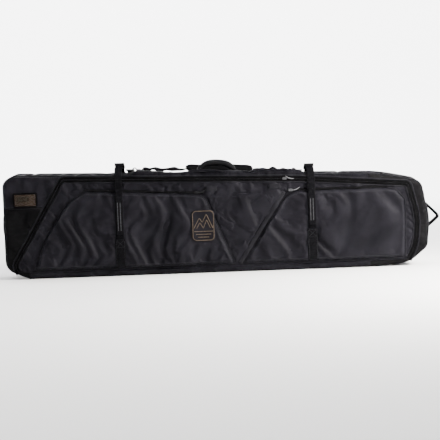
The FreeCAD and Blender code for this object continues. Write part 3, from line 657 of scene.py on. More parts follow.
def band_noise(points, scale, seed):
    """Smooth random numbers over space, from a few random plane waves."""
    draw = np.random.default_rng(seed)
    total = np.zeros(len(points))
    for _ in range(14):
        direction = draw.normal(size=3)
        direction /= np.linalg.norm(direction)
        rate = 6.2832 / (scale * draw.uniform(0.6, 1.6))
        total += np.sin(points @ direction * rate + draw.uniform(0, 6.28))
    return total / 3.7


def roof_ridge(points):
    """How far the padded edge behind the zip stands above the roof, between the two lashing straps."""
    x, y = points[:, 0], points[:, 1]
    left, right = STRAP_SPAN
    between = smooth_step(x, left, left + 0.07) * (1 - smooth_step(x, right - 0.05, right))
    near_front = 1 - smooth_step(y, -0.085, -0.045)
    near_edge = 1 - smooth_step(distance_to(points[:, [0, 2]], OUTER), 0.0, 0.016)
    uneven = 0.011 + 0.004 * band_noise(points * (1, 0, 0), 0.16, 8)
    return uneven * between * near_front * near_edge * (points[:, 2] > 0.2)


FRONT_SLACK, SIDE_SLACK = 0.03, 0.028
TUB_JITTER, TUB_REACH = 0.002, 0.009  # height of the starting unevenness, and the most a point may move


def make_tub():
    """Folds the whole tub as one cloth and cuts it into its sewn regions."""
    vertices, faces, zones = welded(*tub_surface())
    spread = FRONT + FRONT_RADIUS
    vertices[:, 2] += roof_ridge(vertices)
    whole = new_object("tub_whole", vertices, faces, SHELL, None, "shell_fabric")
    start = vertices.copy()
    flat = vertices[:, [0, 2]]
    edge_gap = distance_to(flat, OUTER)
    mouth_gap = distance_to(flat, MOUTH)
    on_front = vertices[:, 1] < spread
    pinned = (on_front & (mouth_gap < 0.001)) | (vertices[:, 2] < 0.003)
    pinned |= (np.abs(vertices[:, 1] - spread) < 0.001) & (edge_gap < 0.001)
    pinned |= np.abs(vertices[:, 1] - (BACK - BACK_RADIUS)) < 0.001
    (x0, _, z0), (x1, _, z1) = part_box("document_window")
    margin = 0.006
    pinned |= on_front & (flat[:, 0] > x0 - margin) & (flat[:, 0] < x1 + margin) & (
        flat[:, 1] > z0 - margin) & (flat[:, 1] < z1 + margin)
    for seam in TUB_SEAMS:
        pinned |= on_front & (distance_to(flat, seam, closed=False) < 1e-4)
    moved = start
    jitter = band_noise(vertices * (1, 0.5, 0.6), 0.055, 5)[:, None] * TUB_JITTER
    outward = vertices - vertices.mean(axis=0)
    outward[:, 0] *= 0.1
    outward /= np.linalg.norm(outward, axis=1)[:, None]
    seeded = start + jitter * outward * ~pinned[:, None]
    set_points(whole, seeded)
    slack = np.where(on_front, FRONT_SLACK, SIDE_SLACK)
    moved = crumple(whole, pinned, slack, pressure=0.5, bending=5)
    moved = limited(moved, start, TUB_REACH)
    moved[:, 2] = np.maximum(moved[:, 2], 0.0008)
    moved[:, 1] = np.where(on_front, np.clip(moved[:, 1], FRONT - 0.004, None), moved[:, 1])
    behind = start[:, 1] > BACK - BACK_RADIUS
    moved[:, 1] = np.where(behind, np.clip(moved[:, 1], start[:, 1] - 0.001, BACK + 0.007), moved[:, 1])
    bpy.data.objects.remove(whole)
    centre = start[faces].mean(axis=1)
    normal = np.cross(start[faces[:, 1]] - start[faces[:, 0]], start[faces[:, 2]] - start[faces[:, 0]])
    normal /= np.linalg.norm(normal, axis=1)[:, None]
    on_face = centre[:, 1] < spread - 0.0005
    on_back = centre[:, 1] > BACK - BACK_RADIUS + 0.0005
    gusset = ~on_face & ~on_back
    x, z = zones[:, 0], zones[:, 1]
    above = z > 0.2
    roof_left, roof_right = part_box("top_gusset")[0][0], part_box("top_gusset")[1][0]
    tail = on_face & (((x < TAIL_EDGE + 0.0015) & above) | (x < FLOOR_LEFT))
    nose = on_face & (((x > NOSE_EDGE) & above) | (x > FLOOR_RIGHT))
    regions = {
        "back_panel_skin": (on_back, SHELL, ["back_panel"]),
        "scuff_guard_skin": (tail & (z < GUARD_TOP), GUARD, ["scuff_guard"]),
        "tail_front_skin": (tail, SHELL, ["tail_front_panel"]),
        "nose_front_skin": (nose, NOSE, ["nose_front_panel"]),
        "zip_header_skin": (on_face & above, HEADER, ["zip_header_strip"]),
        "lower_front_skin": (on_face, SHELL, ["lower_front_strip"]),
        "roof_skin": (gusset & above & (x >= roof_left) & (x <= roof_right), HEADER, ["top_gusset"]),
        "floor_skin": (gusset & ~above & (x >= FLOOR_LEFT) & (x <= FLOOR_RIGHT), SHELL, ["bottom_gusset"]),
        "tail_end_skin": (gusset & (x < 0), SHELL, ["tail_gusset"]),
        "nose_end_skin": (gusset, NOSE, ["nose_gusset"]),
    }
    taken = np.zeros(len(faces), bool)
    for name, (chosen, material, nodes) in regions.items():
        chosen = chosen & ~taken
        taken |= chosen
        finish_skin(name, moved, faces, chosen, material, nodes)


def finish_skin(name, vertices, faces, chosen, material, nodes):
    """One sewn region of the tub: fabric outside, lining inside."""
    slot_name = "nose_fabric" if material in (NOSE, GUARD) else "shell_fabric"
    faces = faces[chosen]
    used = np.unique(faces)
    renumber = np.full(len(vertices), -1)
    renumber[used] = np.arange(len(used))
    piece = new_object(name, vertices[used], renumber[faces], material, "root", slot_name, nodes)
    paint(piece, material, LINING)
    thicken(subdivide(piece), WALL, inner_slot=1)


make_tub()


# ---------------------------------------------------------------- lid panels

STRAPS = {side: (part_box(f"strap_front_{side}")[0][0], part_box(f"strap_front_{side}")[1][0]) for side in SIDES}
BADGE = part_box("woven_badge")
POCKET_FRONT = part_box("left_pocket")[0][1]
POCKETS = {side: softened(face_outline(f"{side}_pocket", back=True), 0.045) for side in SIDES}
LID_SPACING = 0.0065


PUFF = 0.0065  # how far fabric may stand proud of its CAD panel
HELD = POCKET_FRONT + 0.0008  # where a strap or the badge holds it


def pressed_limit(flat):
    """The furthest forward the fabric may stand: under straps and the badge it lies flat."""
    limit = np.full(len(flat), POCKET_FRONT - PUFF)
    for low, high in STRAPS.values():
        gap = np.maximum(low - flat[:, 0], flat[:, 0] - high)
        limit = np.maximum(limit, HELD - smooth_step(gap, 0.0, 0.022) * 0.0075)
    (x0, _, z0), (x1, _, z1) = BADGE
    gap = np.maximum.reduce([x0 - flat[:, 0], flat[:, 0] - x1, z0 - flat[:, 1], flat[:, 1] - z1])
    return np.maximum(limit, HELD - smooth_step(gap, 0.0, 0.02) * 0.0075)


def soft_floor(value, low, softness=0.0015):
    """Keeps value above low with a rounded corner."""
    gap = (value - low) / softness
    return low + softness * np.logaddexp(0, gap)


def panel(name, node, outline, depth, shoulder, slack, fold, seams=(), thickness=0.0015, seed=1, reach=0.012):
    """One sewn fabric panel, slightly too large, that folds as cloth and is held at its seams.

    fold is the spacing of the folds, how much they lean, and their height-to-width squash.
    """
    flat, faces = patch(outline, LID_SPACING, seams=seams)
    gap = distance_to(flat, outline)
    lift = depth * (1 - (1 - np.clip(gap / shoulder, 0, 1)) ** 2.2)
    points = at_depth(flat, FRONT - lift)
    piece = new_object(name, points, faces, SHELL, None, "shell_fabric")
    pinned = gap < 1e-4
    for seam in seams:
        pinned |= distance_to(flat, np.asarray(seam), closed=False) < 1e-4
    for low, high in STRAPS.values():
        pinned |= (flat[:, 0] > low + 0.002) & (flat[:, 0] < high - 0.002)
    (x0, _, z0), (x1, _, z1) = BADGE
    pinned |= (flat[:, 0] > x0) & (flat[:, 0] < x1) & (flat[:, 1] > z0) & (flat[:, 1] < z1)
    moved = points
    spacing, lean, squash = fold
    sway = 0.02 * np.sin(flat[:, 1] * 30 + flat[:, 0] * 9)
    warped = np.column_stack([flat[:, 0] + lean * flat[:, 1] + sway, points[:, 1], flat[:, 1] * squash])
    seeded = points.copy()
    seeded[:, 1] += band_noise(warped, spacing, seed) * 0.0022 * ~pinned
    set_points(piece, seeded)
    moved = crumple(piece, pinned, slack(flat))
    moved = limited(moved, points, reach)
    low = np.maximum(pressed_limit(flat), FRONT - depth - PUFF)
    moved[:, 1] = np.where(pinned, moved[:, 1], soft_floor(moved[:, 1], low))
    back = FRONT + 0.0012 - 0.003 * np.clip(gap / 0.02, 0, 1) * (depth > 0.004)
    moved[:, 1] = np.where(pinned, moved[:, 1], np.minimum(moved[:, 1], back))
    set_points(piece, moved)
    thicken(subdivide(piece), thickness)
    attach(piece, "lid")
    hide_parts(node)


def even_slack(amount):
    return lambda flat: np.full(len(flat), amount)


def left_slack(flat):
    """Loosest low down, where the fabric piles up in ripples."""
    low, high = flat[:, 1].min(), flat[:, 1].max()
    return 0.058 - 0.02 * smooth_step(flat[:, 1], low + 0.04, high)


def right_slack(flat):
    """Gathered round the strap, nearly smooth towards the nose."""
    edge = STRAPS["right"][1]
    return 0.050 - 0.042 * smooth_step(flat[:, 0], edge + 0.03, edge + 0.16)


def make_lid():
    """The lid's fabric: the base sheet, two pockets and the panel between them."""
    left, right = POCKETS["left"], POCKETS["right"]
    middle = face_outline("centre_panel", back=True)
    loops = [np.vstack([ring, ring[:1]]) for ring in (left, right)]
    panel("lid_base", "lid_panel", LID, 0.0, 0.01, even_slack(0.055), (0.042, 0.5, 0.7),
          loops, 0.003, seed=11, reach=0.006)
    depth = FRONT - POCKET_FRONT
    panel("left_pocket_skin", "left_pocket", left, depth, 0.016, left_slack, (0.062, 0.0, 0.42), seed=21)
    panel("right_pocket_skin", "right_pocket", right, depth, 0.016, right_slack, (0.075, 0.3, 0.4), seed=33)
    panel("centre_panel_skin", "centre_panel", middle, 0.006, 0.012, even_slack(0.04),
          (0.08, 0.5, 0.4), seed=41)


make_lid()


# ---------------------------------------------------------------- lines, tubes and webbing


class Surface:
    """Finds the front of the finished fabric at any place."""

    def __init__(self, *names):
        vertices, faces = [], []
        for name in names:
            mesh = bpy.data.objects[name].data
            count = len(vertices)
            vertices += [v.co.copy() for v in mesh.vertices]
            faces += [[count + i for i in f.vertices] for f in mesh.polygons]
        self.tree = BVHTree.FromPolygons(vertices, faces)

    def drape(self, path, lift=0.0, spacing=0.004, relax=0):
        """A path of (x, z) laid on the fabric, lift above it, optionally made stiffer by averaging."""
        line = resampled(np.asarray(path, float), spacing, closed=False)
        y = np.full(len(line), FRONT)
        for index, (x, z) in enumerate(line):
            hit = self.tree.ray_cast(Vector((x, -1.0, z)), Vector((0, 1, 0)))[0]
            if hit is not None:
                y[index] = min(hit.y, FRONT + 0.012)
        for _ in range(relax):
            y = np.minimum(y, (np.roll(y, 1) + np.roll(y, -1) + y) / 3 + 0.0002)
            y[1:-1] = (y[:-2] + y[1:-1] + y[2:]) / 3
        return at_depth(line, y - lift)


def frames_along(path, closed=False):
    """Tangents of a path."""
    if closed:
        run = np.roll(path, -1, axis=0) - np.roll(path, 1, axis=0)
    else:
        run = np.gradient(path, axis=0)
    return run / np.maximum(np.linalg.norm(run, axis=1)[:, None], 1e-12)


def sweep(path, side, section, closed=False, scale=None):
    """Vertices and faces of a section (across, up) carried along a path; side points across."""
    path = np.asarray(path, float)
    tangent = frames_along(path, closed)
    side = np.broadcast_to(np.asarray(side, float), path.shape)
    up = np.cross(side, tangent)
    up /= np.linalg.norm(up, axis=1)[:, None]
    across = np.cross(tangent, up)
    section = np.asarray(section, float)
    count, around = len(path), len(section)
    sizes = np.ones((count, 2)) if scale is None else np.asarray(scale, float)
    rings = (path[:, None, :] + across[:, None, :] * (section[None, :, 0:1] * sizes[:, None, 0:1])
             + up[:, None, :] * (section[None, :, 1:2] * sizes[:, None, 1:2]))
    vertices = rings.reshape(-1, 3)
    faces = []
    for i in range(count if closed else count - 1):
        j = (i + 1) % count
        for k in range(around):
            m = (k + 1) % around
            faces.append((i * around + k, i * around + m, j * around + m, j * around + k))
    if not closed:
        faces.append(tuple(range(around))[::-1])
        faces.append(tuple((count - 1) * around + k for k in range(around)))
    return vertices, faces


def swept(name, path, side, section, material, body, slot_name, nodes=(), **shape):
    """A piece made of one section carried along a path."""
    return new_object(name, *sweep(path, side, section, **shape), material, body, slot_name, nodes)


def circle(radius, sides=8, squash=1.0):
    """A round or flattened section."""
    turn = np.linspace(0, 2 * math.pi, sides, endpoint=False)
    return np.column_stack([np.cos(turn) * radius, np.sin(turn) * radius * squash])


def side_for(path):
    """A direction across a path that lies near the front plane."""
    tangent = frames_along(np.asarray(path, float))
    across = np.cross(tangent, (0, 1, 0))
    length = np.linalg.norm(across, axis=1)[:, None]
    return np.where(length > 0.1, across / np.maximum(length, 1e-9), (1, 0, 0))


def joined(name, parts, material, body, slot_name, nodes=()):
    """One piece from several (vertices, faces) parts."""
    vertices, faces, count = [], [], 0
    for part_vertices, part_faces in parts:
        vertices.append(np.asarray(part_vertices))
        faces += [tuple(count + i for i in face) for face in part_faces]
        count += len(part_vertices)
    return new_object(name, np.vstack(vertices), faces, material, body, slot_name, nodes)


def stitch_parts(path, pitch=0.0042, length=0.0030, radius=0.00042):
    """Short thread dashes along a draped path."""
    path = np.asarray(path, float)
    steps = np.concatenate([[0], np.cumsum(np.linalg.norm(np.diff(path, axis=0), axis=1))])
    starts = np.arange(pitch, steps[-1] - pitch, pitch)
    parts = []
    for start in starts:
        where = start + np.array([0, length * 0.25, length * 0.75, length])
        line = np.column_stack([np.interp(where, steps, path[:, k]) for k in range(3)])
        line[[0, -1], 1] += radius * 1.2
        parts.append(sweep(line, side_for(line), circle(radius, 5)))
    return parts


def smoothed(path, rounds=2):
    """Rounds the corners of an open path by corner cutting."""
    path = np.asarray(path, float)
    for _ in range(rounds):
        a, b = path[:-1], path[1:]
        cut = np.empty((2 * len(a), path.shape[1]))
        cut[0::2] = a * 0.75 + b * 0.25
        cut[1::2] = a * 0.25 + b * 0.75
        path = np.vstack([path[:1], cut, path[-1:]])
    return path


def even(path, spacing):
    """Points at an even spacing along an open path in space."""
    path = np.asarray(path, float)
    steps = np.concatenate([[0], np.cumsum(np.linalg.norm(np.diff(path, axis=0), axis=1))])
    where = np.linspace(0, steps[-1], max(2, int(round(steps[-1] / spacing)) + 1))
    return np.column_stack([np.interp(where, steps, path[:, k]) for k in range(path.shape[1])])


def webbing_section(width, thickness):
    """A flat woven band: thin rounded edges, shallow lengthwise ribs on both faces."""
    ribs = max(6, int(round(width / 0.0032)))
    across = np.linspace(-0.5, 0.5, ribs * 2 + 1)[1:-1] * width * 0.97
    rib = np.where(np.arange(len(across)) % 2, 0.5, 0.42) * thickness
    top = np.column_stack([across, rib])
    bottom = np.column_stack([across[::-1], -rib[::-1]])
    right = [(width / 2, thickness * 0.22), (width / 2, -thickness * 0.22)]
    left = [(-width / 2, -thickness * 0.22), (-width / 2, thickness * 0.22)]
    return np.vstack([top, right, bottom, left])[::-1]


def webbing(name, path, side, width, thickness, body, nodes=(), rounds=2, wobble=0.0, seed=0, twist=0.0,
            slot_name="webbing", material=WEBBING):
    """A strap that follows a path; a loose one waves and rolls from side to side as it goes."""
    path = even(smoothed(path, rounds), 0.005)
    if wobble:
        draw = np.random.default_rng(seed)
        phase = draw.uniform(0, 6.28, 3)
        run = np.linspace(0, 1, len(path))
        tangent = frames_along(path)
        up = np.cross(np.broadcast_to(side, path.shape), tangent)
        wave = np.sin(run * 17 + phase[0]) + 0.6 * np.sin(run * 31 + phase[1])
        path = path + up * (wave * wobble * np.sin(math.pi * run))[:, None]
        roll = math.radians(twist) * (0.75 + 0.25 * np.sin(run * 23 + phase[2]))
        roll *= np.minimum(1, 3 * np.sin(math.pi * run))
        side = np.cos(roll)[:, None] * np.array(side) + np.sin(roll)[:, None] * up
    swept(name, path, side, webbing_section(width, thickness), material, body, slot_name, nodes)


def centre_path(ring):
    """The middle line of a strip-shaped outline, and the strip's thickness."""
    count = len(ring)
    edges = np.linalg.norm(np.roll(ring, -1, axis=0) - ring, axis=1)
    total = edges.sum()
    best = None
    for i in range(count):
        for j in range(i + 1, count):
            first = edges[i + 1:j].sum()
            second = total - first - edges[i] - edges[j]
            if min(first, second) < 0.3 * total:
                continue
            score = edges[i] + edges[j] + 0.3 * abs(first - second)
            if best is None or score < best[0]:
                best = (score, i, j)
    _, i, j = best
    one = ring[i + 1:j + 1]
    two = np.vstack([ring[j + 1:], ring[:i + 1]])[::-1]
    if len(one) != len(two):
        longer, shorter = (one, two) if len(one) > len(two) else (two, one)
        nearest = np.array([shorter[0] + 0 * p for p in longer])
        for index, point in enumerate(longer):
            gaps = [(distance_to(np.array([point]), np.array([a, b]), closed=False)[0], a, b)
                    for a, b in zip(shorter[:-1], shorter[1:])]
            _, a, b = min(gaps, key=lambda item: item[0])
            along = np.clip((point - a) @ (b - a) / max((b - a) @ (b - a), 1e-12), 0, 1)
            nearest[index] = a + (b - a) * along
        one, two = longer, nearest
    thickness = float(np.median(np.linalg.norm(one - two, axis=1)))
    return (one + two) / 2, thickness


LID_SURFACE = Surface("lid_base", "left_pocket_skin", "right_pocket_skin", "centre_panel_skin")
TUB_SURFACE = Surface("tail_front_skin", "scuff_guard_skin", "nose_front_skin", "zip_header_skin",
                      "lower_front_skin")
FINE = 0.004  # spacing of points along a sewn line


def strap(node, body, wobble=0.0):
    """A strap that runs in a plane across the bag, along the middle line of its CAD node."""
    low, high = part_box(node)
    path, thickness = centre_path(outline_ring(node, 0)[0])
    line = np.column_stack([np.full(len(path), (low[0] + high[0]) / 2), path[:, 0], path[:, 1]])
    webbing(f"{node}_webbing", line, (1, 0, 0), high[0] - low[0], thickness, body, [node],
            1 if len(path) < 3 else 2, wobble, seed=3)


def straps():
    for side in SIDES:
        strap(f"strap_front_{side}", "lid", 0.0004)
        strap(f"strap_tail_{side}", f"tail_{side}")
        strap(f"strap_band_{side}", "lid")
        strap(f"back_strap_{side}", "root")
        tail_details(side)


def tail_details(side):
    """Two light stripes down the free tail, its folded end, and the sewn band's stitching."""
    low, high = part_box(f"strap_tail_{side}")
    front = low[1] - 0.0003
    for index, share in enumerate((0.30, 0.70)):
        x = low[0] + (high[0] - low[0]) * share
        line = even([(x, front, low[2] + 0.004), (x, front, low[2] + 0.72 * (high[2] - low[2]))], 0.01)
        swept(f"strap_tail_{side}_stripe_{index}", line, (1, 0, 0), webbing_section(0.0032, 0.0007), STRIPE,
              f"tail_{side}", "webbing")
    middle, front = (low[0] + high[0]) / 2, low[1] - 0.0008
    hem = even([(middle, front, low[2] + 0.001), (middle, front, low[2] + 0.020)], FINE)
    swept(f"strap_tail_{side}_hem", hem, (1, 0, 0), webbing_section(high[0] - low[0] + 0.0006, 0.0018), WEBBING,
          f"tail_{side}", "webbing")
    low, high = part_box(f"strap_band_{side}")
    y = low[1] - 0.0004
    inset, box_height = 0.003, 0.030
    x0, x1, z0, z1 = low[0] + inset, high[0] - inset, low[2] + inset, high[2] - inset
    cross = z1 - box_height
    parts = []
    for a, b in (((x0, z0), (x0, z1)), ((x1, z0), (x1, z1)), ((x0, z1), (x1, z1)), ((x0, cross), (x1, cross)),
                 ((x0, z1), (x1, cross)), ((x1, z1), (x0, cross)), ((x0, z0), (x1, z0))):
        parts += stitch_parts(even([(a[0], y, a[1]), (b[0], y, b[1])], 0.01))
    joined(f"strap_band_{side}_stitching", parts, THREAD, "lid", "webbing")


def coil(name, path, side_sign, body, pitch=0.0024, reach=0.0022):
    """Half of a nylon coil: short teeth that lean off the line."""
    path = even(path, pitch)
    tangent = frames_along(path)
    across = np.cross(tangent, (0, 1, 0)) * side_sign
    parts = []
    for point, run, out in zip(path, tangent, across):
        a = point - out * reach * 0.5 - run * 0.0004
        b = point + out * reach
        line = np.array([a + (0, 0.0006, 0), a + (0, -0.0006, 0), b + (0, -0.0006, 0), b + (0, 0.0008, 0)])
        parts.append(sweep(line, np.broadcast_to(run, line.shape), circle(0.0006, 5)))
    joined(name, parts, COIL, body, "zip_coil")


def offset_path(path, amount):
    """An open (x, z) path moved to its right by amount."""
    run = frames_along(np.asarray(path, float))
    return np.asarray(path) + np.column_stack([run[:, 1], -run[:, 0]]) * amount


def tape(name, path, surface, across, width, body, nodes):
    """A flat woven tape laid along a path, shifted across it."""
    dense = resampled(np.asarray(path, float), FINE, closed=False)
    line = surface.drape(offset_path(dense, across), 0.0012, relax=3)
    swept(name, line, side_for(line), webbing_section(width, 0.0012), TAPE, body, "zip_coil", nodes)


def piping(name, path, surface, across, radius, body, lift=0.0):
    """A fabric-covered cord laid along a path, shifted across it."""
    dense = resampled(np.asarray(path, float), FINE, closed=False)
    line = surface.drape(offset_path(dense, across), lift, relax=2)
    swept(name, line, side_for(line), circle(radius), EDGE, body, "shell_fabric")


def main_zip_path():
    """The mouth's line from the toe, over the nose and the top, to the heel."""
    heel = int(np.argmin(np.hypot(LID[:, 0] - LID[:, 0].min(), LID[:, 1])))
    toe = int(np.argmax(LID[:, 0] - 3 * LID[:, 1]))
    ring = np.roll(LID, -toe, axis=0)
    end = (heel - toe) % len(LID)
    return ring[:end + 1]


def zips():
    """Tapes, coils and the cords beside them."""
    mouth = main_zip_path()
    dense = resampled(mouth, FINE, closed=False)
    tape("main_zip_lid_tape", mouth, LID_SURFACE, -0.0048, 0.0075, "lid", ["main_zip_lid_half"])
    tape("main_zip_tub_tape", mouth, TUB_SURFACE, 0.0062, 0.0075, "root", ["main_zip_tub_half"])
    line = at_depth(dense, FRONT - 0.0020)
    coil("main_zip_lid_coil", line, -1, "lid")
    coil("main_zip_tub_coil", line, 1, "root")
    piping("main_zip_lid_piping", mouth, LID_SURFACE, -0.0115, 0.0028, "lid")
    piping("main_zip_tub_piping", mouth, TUB_SURFACE, 0.0130, 0.0028, "root")
    for side in SIDES:
        node = f"{side}_pocket_zip"
        path, width = centre_path(outline_ring(node, 1, -1)[0])
        path = path[np.argsort(path[:, 0])]
        tape(f"{node}_tape", path, LID_SURFACE, 0.0, width, "lid", [node])
        run = even(path, FINE)
        line = LID_SURFACE.drape(run, 0.0028, relax=4)
        coil(f"{node}_coil_upper", line, 1, "lid")
        coil(f"{node}_coil_lower", line, -1, "lid")


FLAP_SQUASH = 0.36  # height of the flap's fold against its width
STITCH_INSETS = (0.0062, 0.0105)  # the two rows of stitching inside a pocket's edge


def seams():
    """Piping and stitching: pockets, flap, zip tabs, the bag's edges and the tub's short seams."""
    for side in SIDES:
        ring = POCKETS[side]
        closed = np.vstack([ring, ring[:1]])
        piping(f"{side}_pocket_piping", closed, LID_SURFACE, 0.0012, 0.0021, "lid", lift=0.0004)
        dense = resampled(closed, FINE, closed=False)
        for index, inset in enumerate(STITCH_INSETS):
            line = LID_SURFACE.drape(offset_path(dense, -inset), 0.0002)
            joined(f"{side}_pocket_stitching_{index}", stitch_parts(line), THREAD, "lid", "shell_fabric")
    flap = face_outline("diagonal_flap")
    top = flap[flap[:, 1] > flap[:, 1].mean()].mean(axis=0)
    foot = flap[flap[:, 1] < flap[:, 1].mean()].mean(axis=0)
    width = (flap[flap[:, 1] > flap[:, 1].mean()][:, 0].max() - top[0]) * 2 * 0.84
    spine = np.array([foot, top])
    line = LID_SURFACE.drape(spine, 0.0012, relax=6)
    section = circle(width / 2, 16, FLAP_SQUASH)
    swept("diagonal_flap_fold", line, side_for(line), section, EDGE, "lid", "flap_fabric", ["diagonal_flap"])
    for index, shift in enumerate((-0.35, 0.35)):
        dense = resampled(spine, FINE, closed=False)
        run = offset_path(dense, shift * width)
        depth = np.interp(np.arange(len(run)), np.arange(len(line)), line[:len(run), 1])
        stitched = at_depth(run, depth - width * FLAP_SQUASH * 0.5 * 0.72)
        joined(f"diagonal_flap_stitching_{index}", stitch_parts(stitched), THREAD, "lid", "flap_fabric")
    for side in SIDES:
        node = f"{side}_zip_tab"
        low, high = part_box(node)
        middle = (low[2] + high[2]) / 2
        path = LID_SURFACE.drape([(low[0], middle), (high[0], middle)], 0.0014, relax=6)
        webbing(f"{node}_patch", path, (0, 0, 1), high[2] - low[2], 0.0022, "lid", [node], 1,
                slot_name="shell_fabric", material=EDGE)
    ring = resampled(OUTER, 0.006)
    level = FRONT + FRONT_RADIUS
    for name, y in (("front_edge_piping", level), ("back_edge_piping", BACK - BACK_RADIUS)):
        points = at_depth(ring, y)
        outward = ring_normals(ring)
        points[:, 0] += outward[:, 0] * 0.0006
        points[:, 2] = np.maximum(points[:, 2] + outward[:, 1] * 0.0006, 0.0021)
        points[:, 2] += roof_ridge(points)
        side = np.broadcast_to((0.0, 1.0, 0.0), points.shape)
        swept(name, points, side, circle(0.002), EDGE, "root", "shell_fabric", closed=True)
    for index, seam in enumerate(TUB_SEAMS):
        for number, shift in enumerate((-0.0035, 0.0035)):
            line = TUB_SURFACE.drape(offset_path(resampled(seam, FINE, closed=False), shift), 0.0002)
            joined(f"tub_seam_stitching_{index}_{number}", stitch_parts(line), THREAD, "root", "shell_fabric")


def grid_faces(rows, columns):
    """The quads of a sheet of points given row by row."""
    corners = [r * columns + c for r in range(rows - 1) for c in range(columns - 1)]
    return [(k, k + 1, k + columns + 1, k + columns) for k in corners]


def window():
    """The clear pocket on the tail: a dark card, a blank insert, the film and its bound edge."""
    low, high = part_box("document_window")
    x0, z0, x1, z1 = low[0], low[2], high[0], high[2]
    y = low[1] - 0.0004
    corner = np.array([(x0, z0), (x1, z0), (x1, z1), (x0, z1), (x0, z0)])
    left, right, foot, top = x0 + 0.012, x1 - 0.030, z0 + 0.020, z1 - 0.012
    label = [(left, foot), (right, foot), (right, top), (left, top)]
    for name, ring, lift, material, thickness in (("document_card", corner[:4], 0.0006, CARD, 0.0006),
                                                  ("document_insert", label, 0.0014, INSERT, 0.0004)):
        sheet = new_object(name, [(x, y - lift, z) for x, z in ring], [(0, 1, 2, 3)], material, "root",
                           "window_film", smooth=False)
        thicken(sheet, thickness)
    grid_x, grid_z = np.linspace(x0, x1, 19), np.linspace(z0, z1, 13)
    points = np.array([(x, y - 0.0028, z) for z in grid_z for x in grid_x])
    points[:, 1] -= 0.0002 * band_noise(points, 0.03, 8)
    new_object("document_window_film", points, grid_faces(13, 19), FILM, "root", "window_film",
               ["document_window"])
    line = [(x, y - 0.0024, z) for x, z in corner]
    parts = [sweep(even([a, b], 0.01), side_for(even([a, b], 0.01)), webbing_section(0.007, 0.0018))
             for a, b in zip(line[:-1], line[1:])]
    joined("document_window_frame", parts, TAPE, "root", "window_film")


def badge():
    """A plain mountain emblem: a stitched border, two ridges and three bars."""
    low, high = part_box("woven_badge")
    x0, z0, width, height = low[0], low[2], high[0] - low[0], high[2] - low[2]
    y = low[1] + 0.0004
    ring = face_outline("woven_badge")
    flat, faces = patch(ring, 0.008)
    crown = 0.0008 * smooth_step(distance_to(flat, ring), 0, 0.004)
    points = at_depth(flat, y + 0.0004 - crown)
    thicken(new_object("woven_badge_base", points, faces, SHELL, "lid", "badge_thread", ["woven_badge"]), 0.001)

    def place(u, v):
        return x0 + u * width, y - 0.0010, z0 + v * height

    inner = grown(ring[::4], -0.005)
    border = [(x, y - 0.0010, z) for x, z in np.vstack([inner, inner[:1]])]
    ridges = [border,
              [place(0.10, 0.42), place(0.34, 0.74), place(0.46, 0.60), place(0.64, 0.86), place(0.90, 0.42)],
              [place(0.22, 0.42), place(0.36, 0.60), place(0.50, 0.42)],
              [place(0.50, 0.42), place(0.65, 0.68), place(0.80, 0.42)]]
    for k in range(3):
        inset, level = 0.10 + 0.08 * k, 0.32 - 0.09 * k
        ridges.append([place(inset, level), place(1 - inset, level)])
    parts = [sweep(even(line, FINE), side_for(even(line, FINE)), circle(0.0014, 7, 0.7)) for line in ridges]
    joined("woven_badge_thread", parts, BADGE_THREAD, "lid", "badge_thread")


# ---------------------------------------------------------------- handles and shoulder strap


def superellipse(width, height, sides=20, power=2.6):
    turn = np.linspace(0, 2 * math.pi, sides, endpoint=False)
    c, q = np.cos(turn), np.sin(turn)
    return np.column_stack([np.sign(c) * np.abs(c) ** (2 / power) * width / 2,
                            np.sign(q) * np.abs(q) ** (2 / power) * height / 2])


def grab_handle():
    """The carrying loop, its padded grip and its two sewn feet."""
    low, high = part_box("grab_handle_grip")
    thickness = centre_path(outline_ring("grab_handle_webbing", 1, -1)[0])[1]
    wide_low, wide_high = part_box("grab_handle_webbing")
    y = (wide_low[1] + wide_high[1]) / 2
    feet = [ring.mean(axis=0) for ring in outline_ring("grab_handle_feet", 1, -1)]
    (left_x, left_z), (right_x, right_z) = feet
    crown = high[2] - 0.013
    arch = [(left_x, left_z + 0.004), (left_x + 0.014, left_z + 0.020), (left_x + 0.040, crown - 0.001),
            ((low[0] + high[0]) / 2 + 0.004, crown + 0.002), (right_x - 0.032, crown - 0.003),
            (right_x - 0.004, right_z + 0.020), (right_x + 0.006, right_z + 0.004)]
    shape = at_depth(np.array(arch), y)
    webbing("grab_handle_loop", shape, (0, 1, 0), wide_high[1] - wide_low[1], thickness, "grab_handle",
            ["grab_handle_webbing"], 3)
    arch = even(smoothed(shape, 3), 0.003)[3:-3]
    share = np.linspace(0, 1, len(arch))
    swell = 0.42 + 0.58 * np.sin(math.pi * share) ** 0.8
    swell += 0.22 * smooth_step(share, 0.6, 0.85) * (1 - smooth_step(share, 0.9, 1.0))
    scale = np.column_stack([0.72 + 0.28 * swell, swell])
    grip = swept("grab_handle_padding", arch, (0, 1, 0), superellipse(0.032, 0.026), GRIP, "grab_handle",
                 "pad_fabric", ["grab_handle_grip"], scale=scale)
    apply_modifiers(subdivide(grip))
    low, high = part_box("grab_handle_feet")
    middle = (low[1] + high[1]) / 2
    for index, ring in enumerate(outline_ring("grab_handle_feet", 1, -1)):
        foot = centre_path(ring)[0]
        line = at_depth(foot + (0, 0.0025), middle)
        webbing(f"grab_handle_foot_{index}", line, (0, 1, 0), high[1] - low[1], 0.004, "root",
                [] if index else ["grab_handle_feet"], 1)


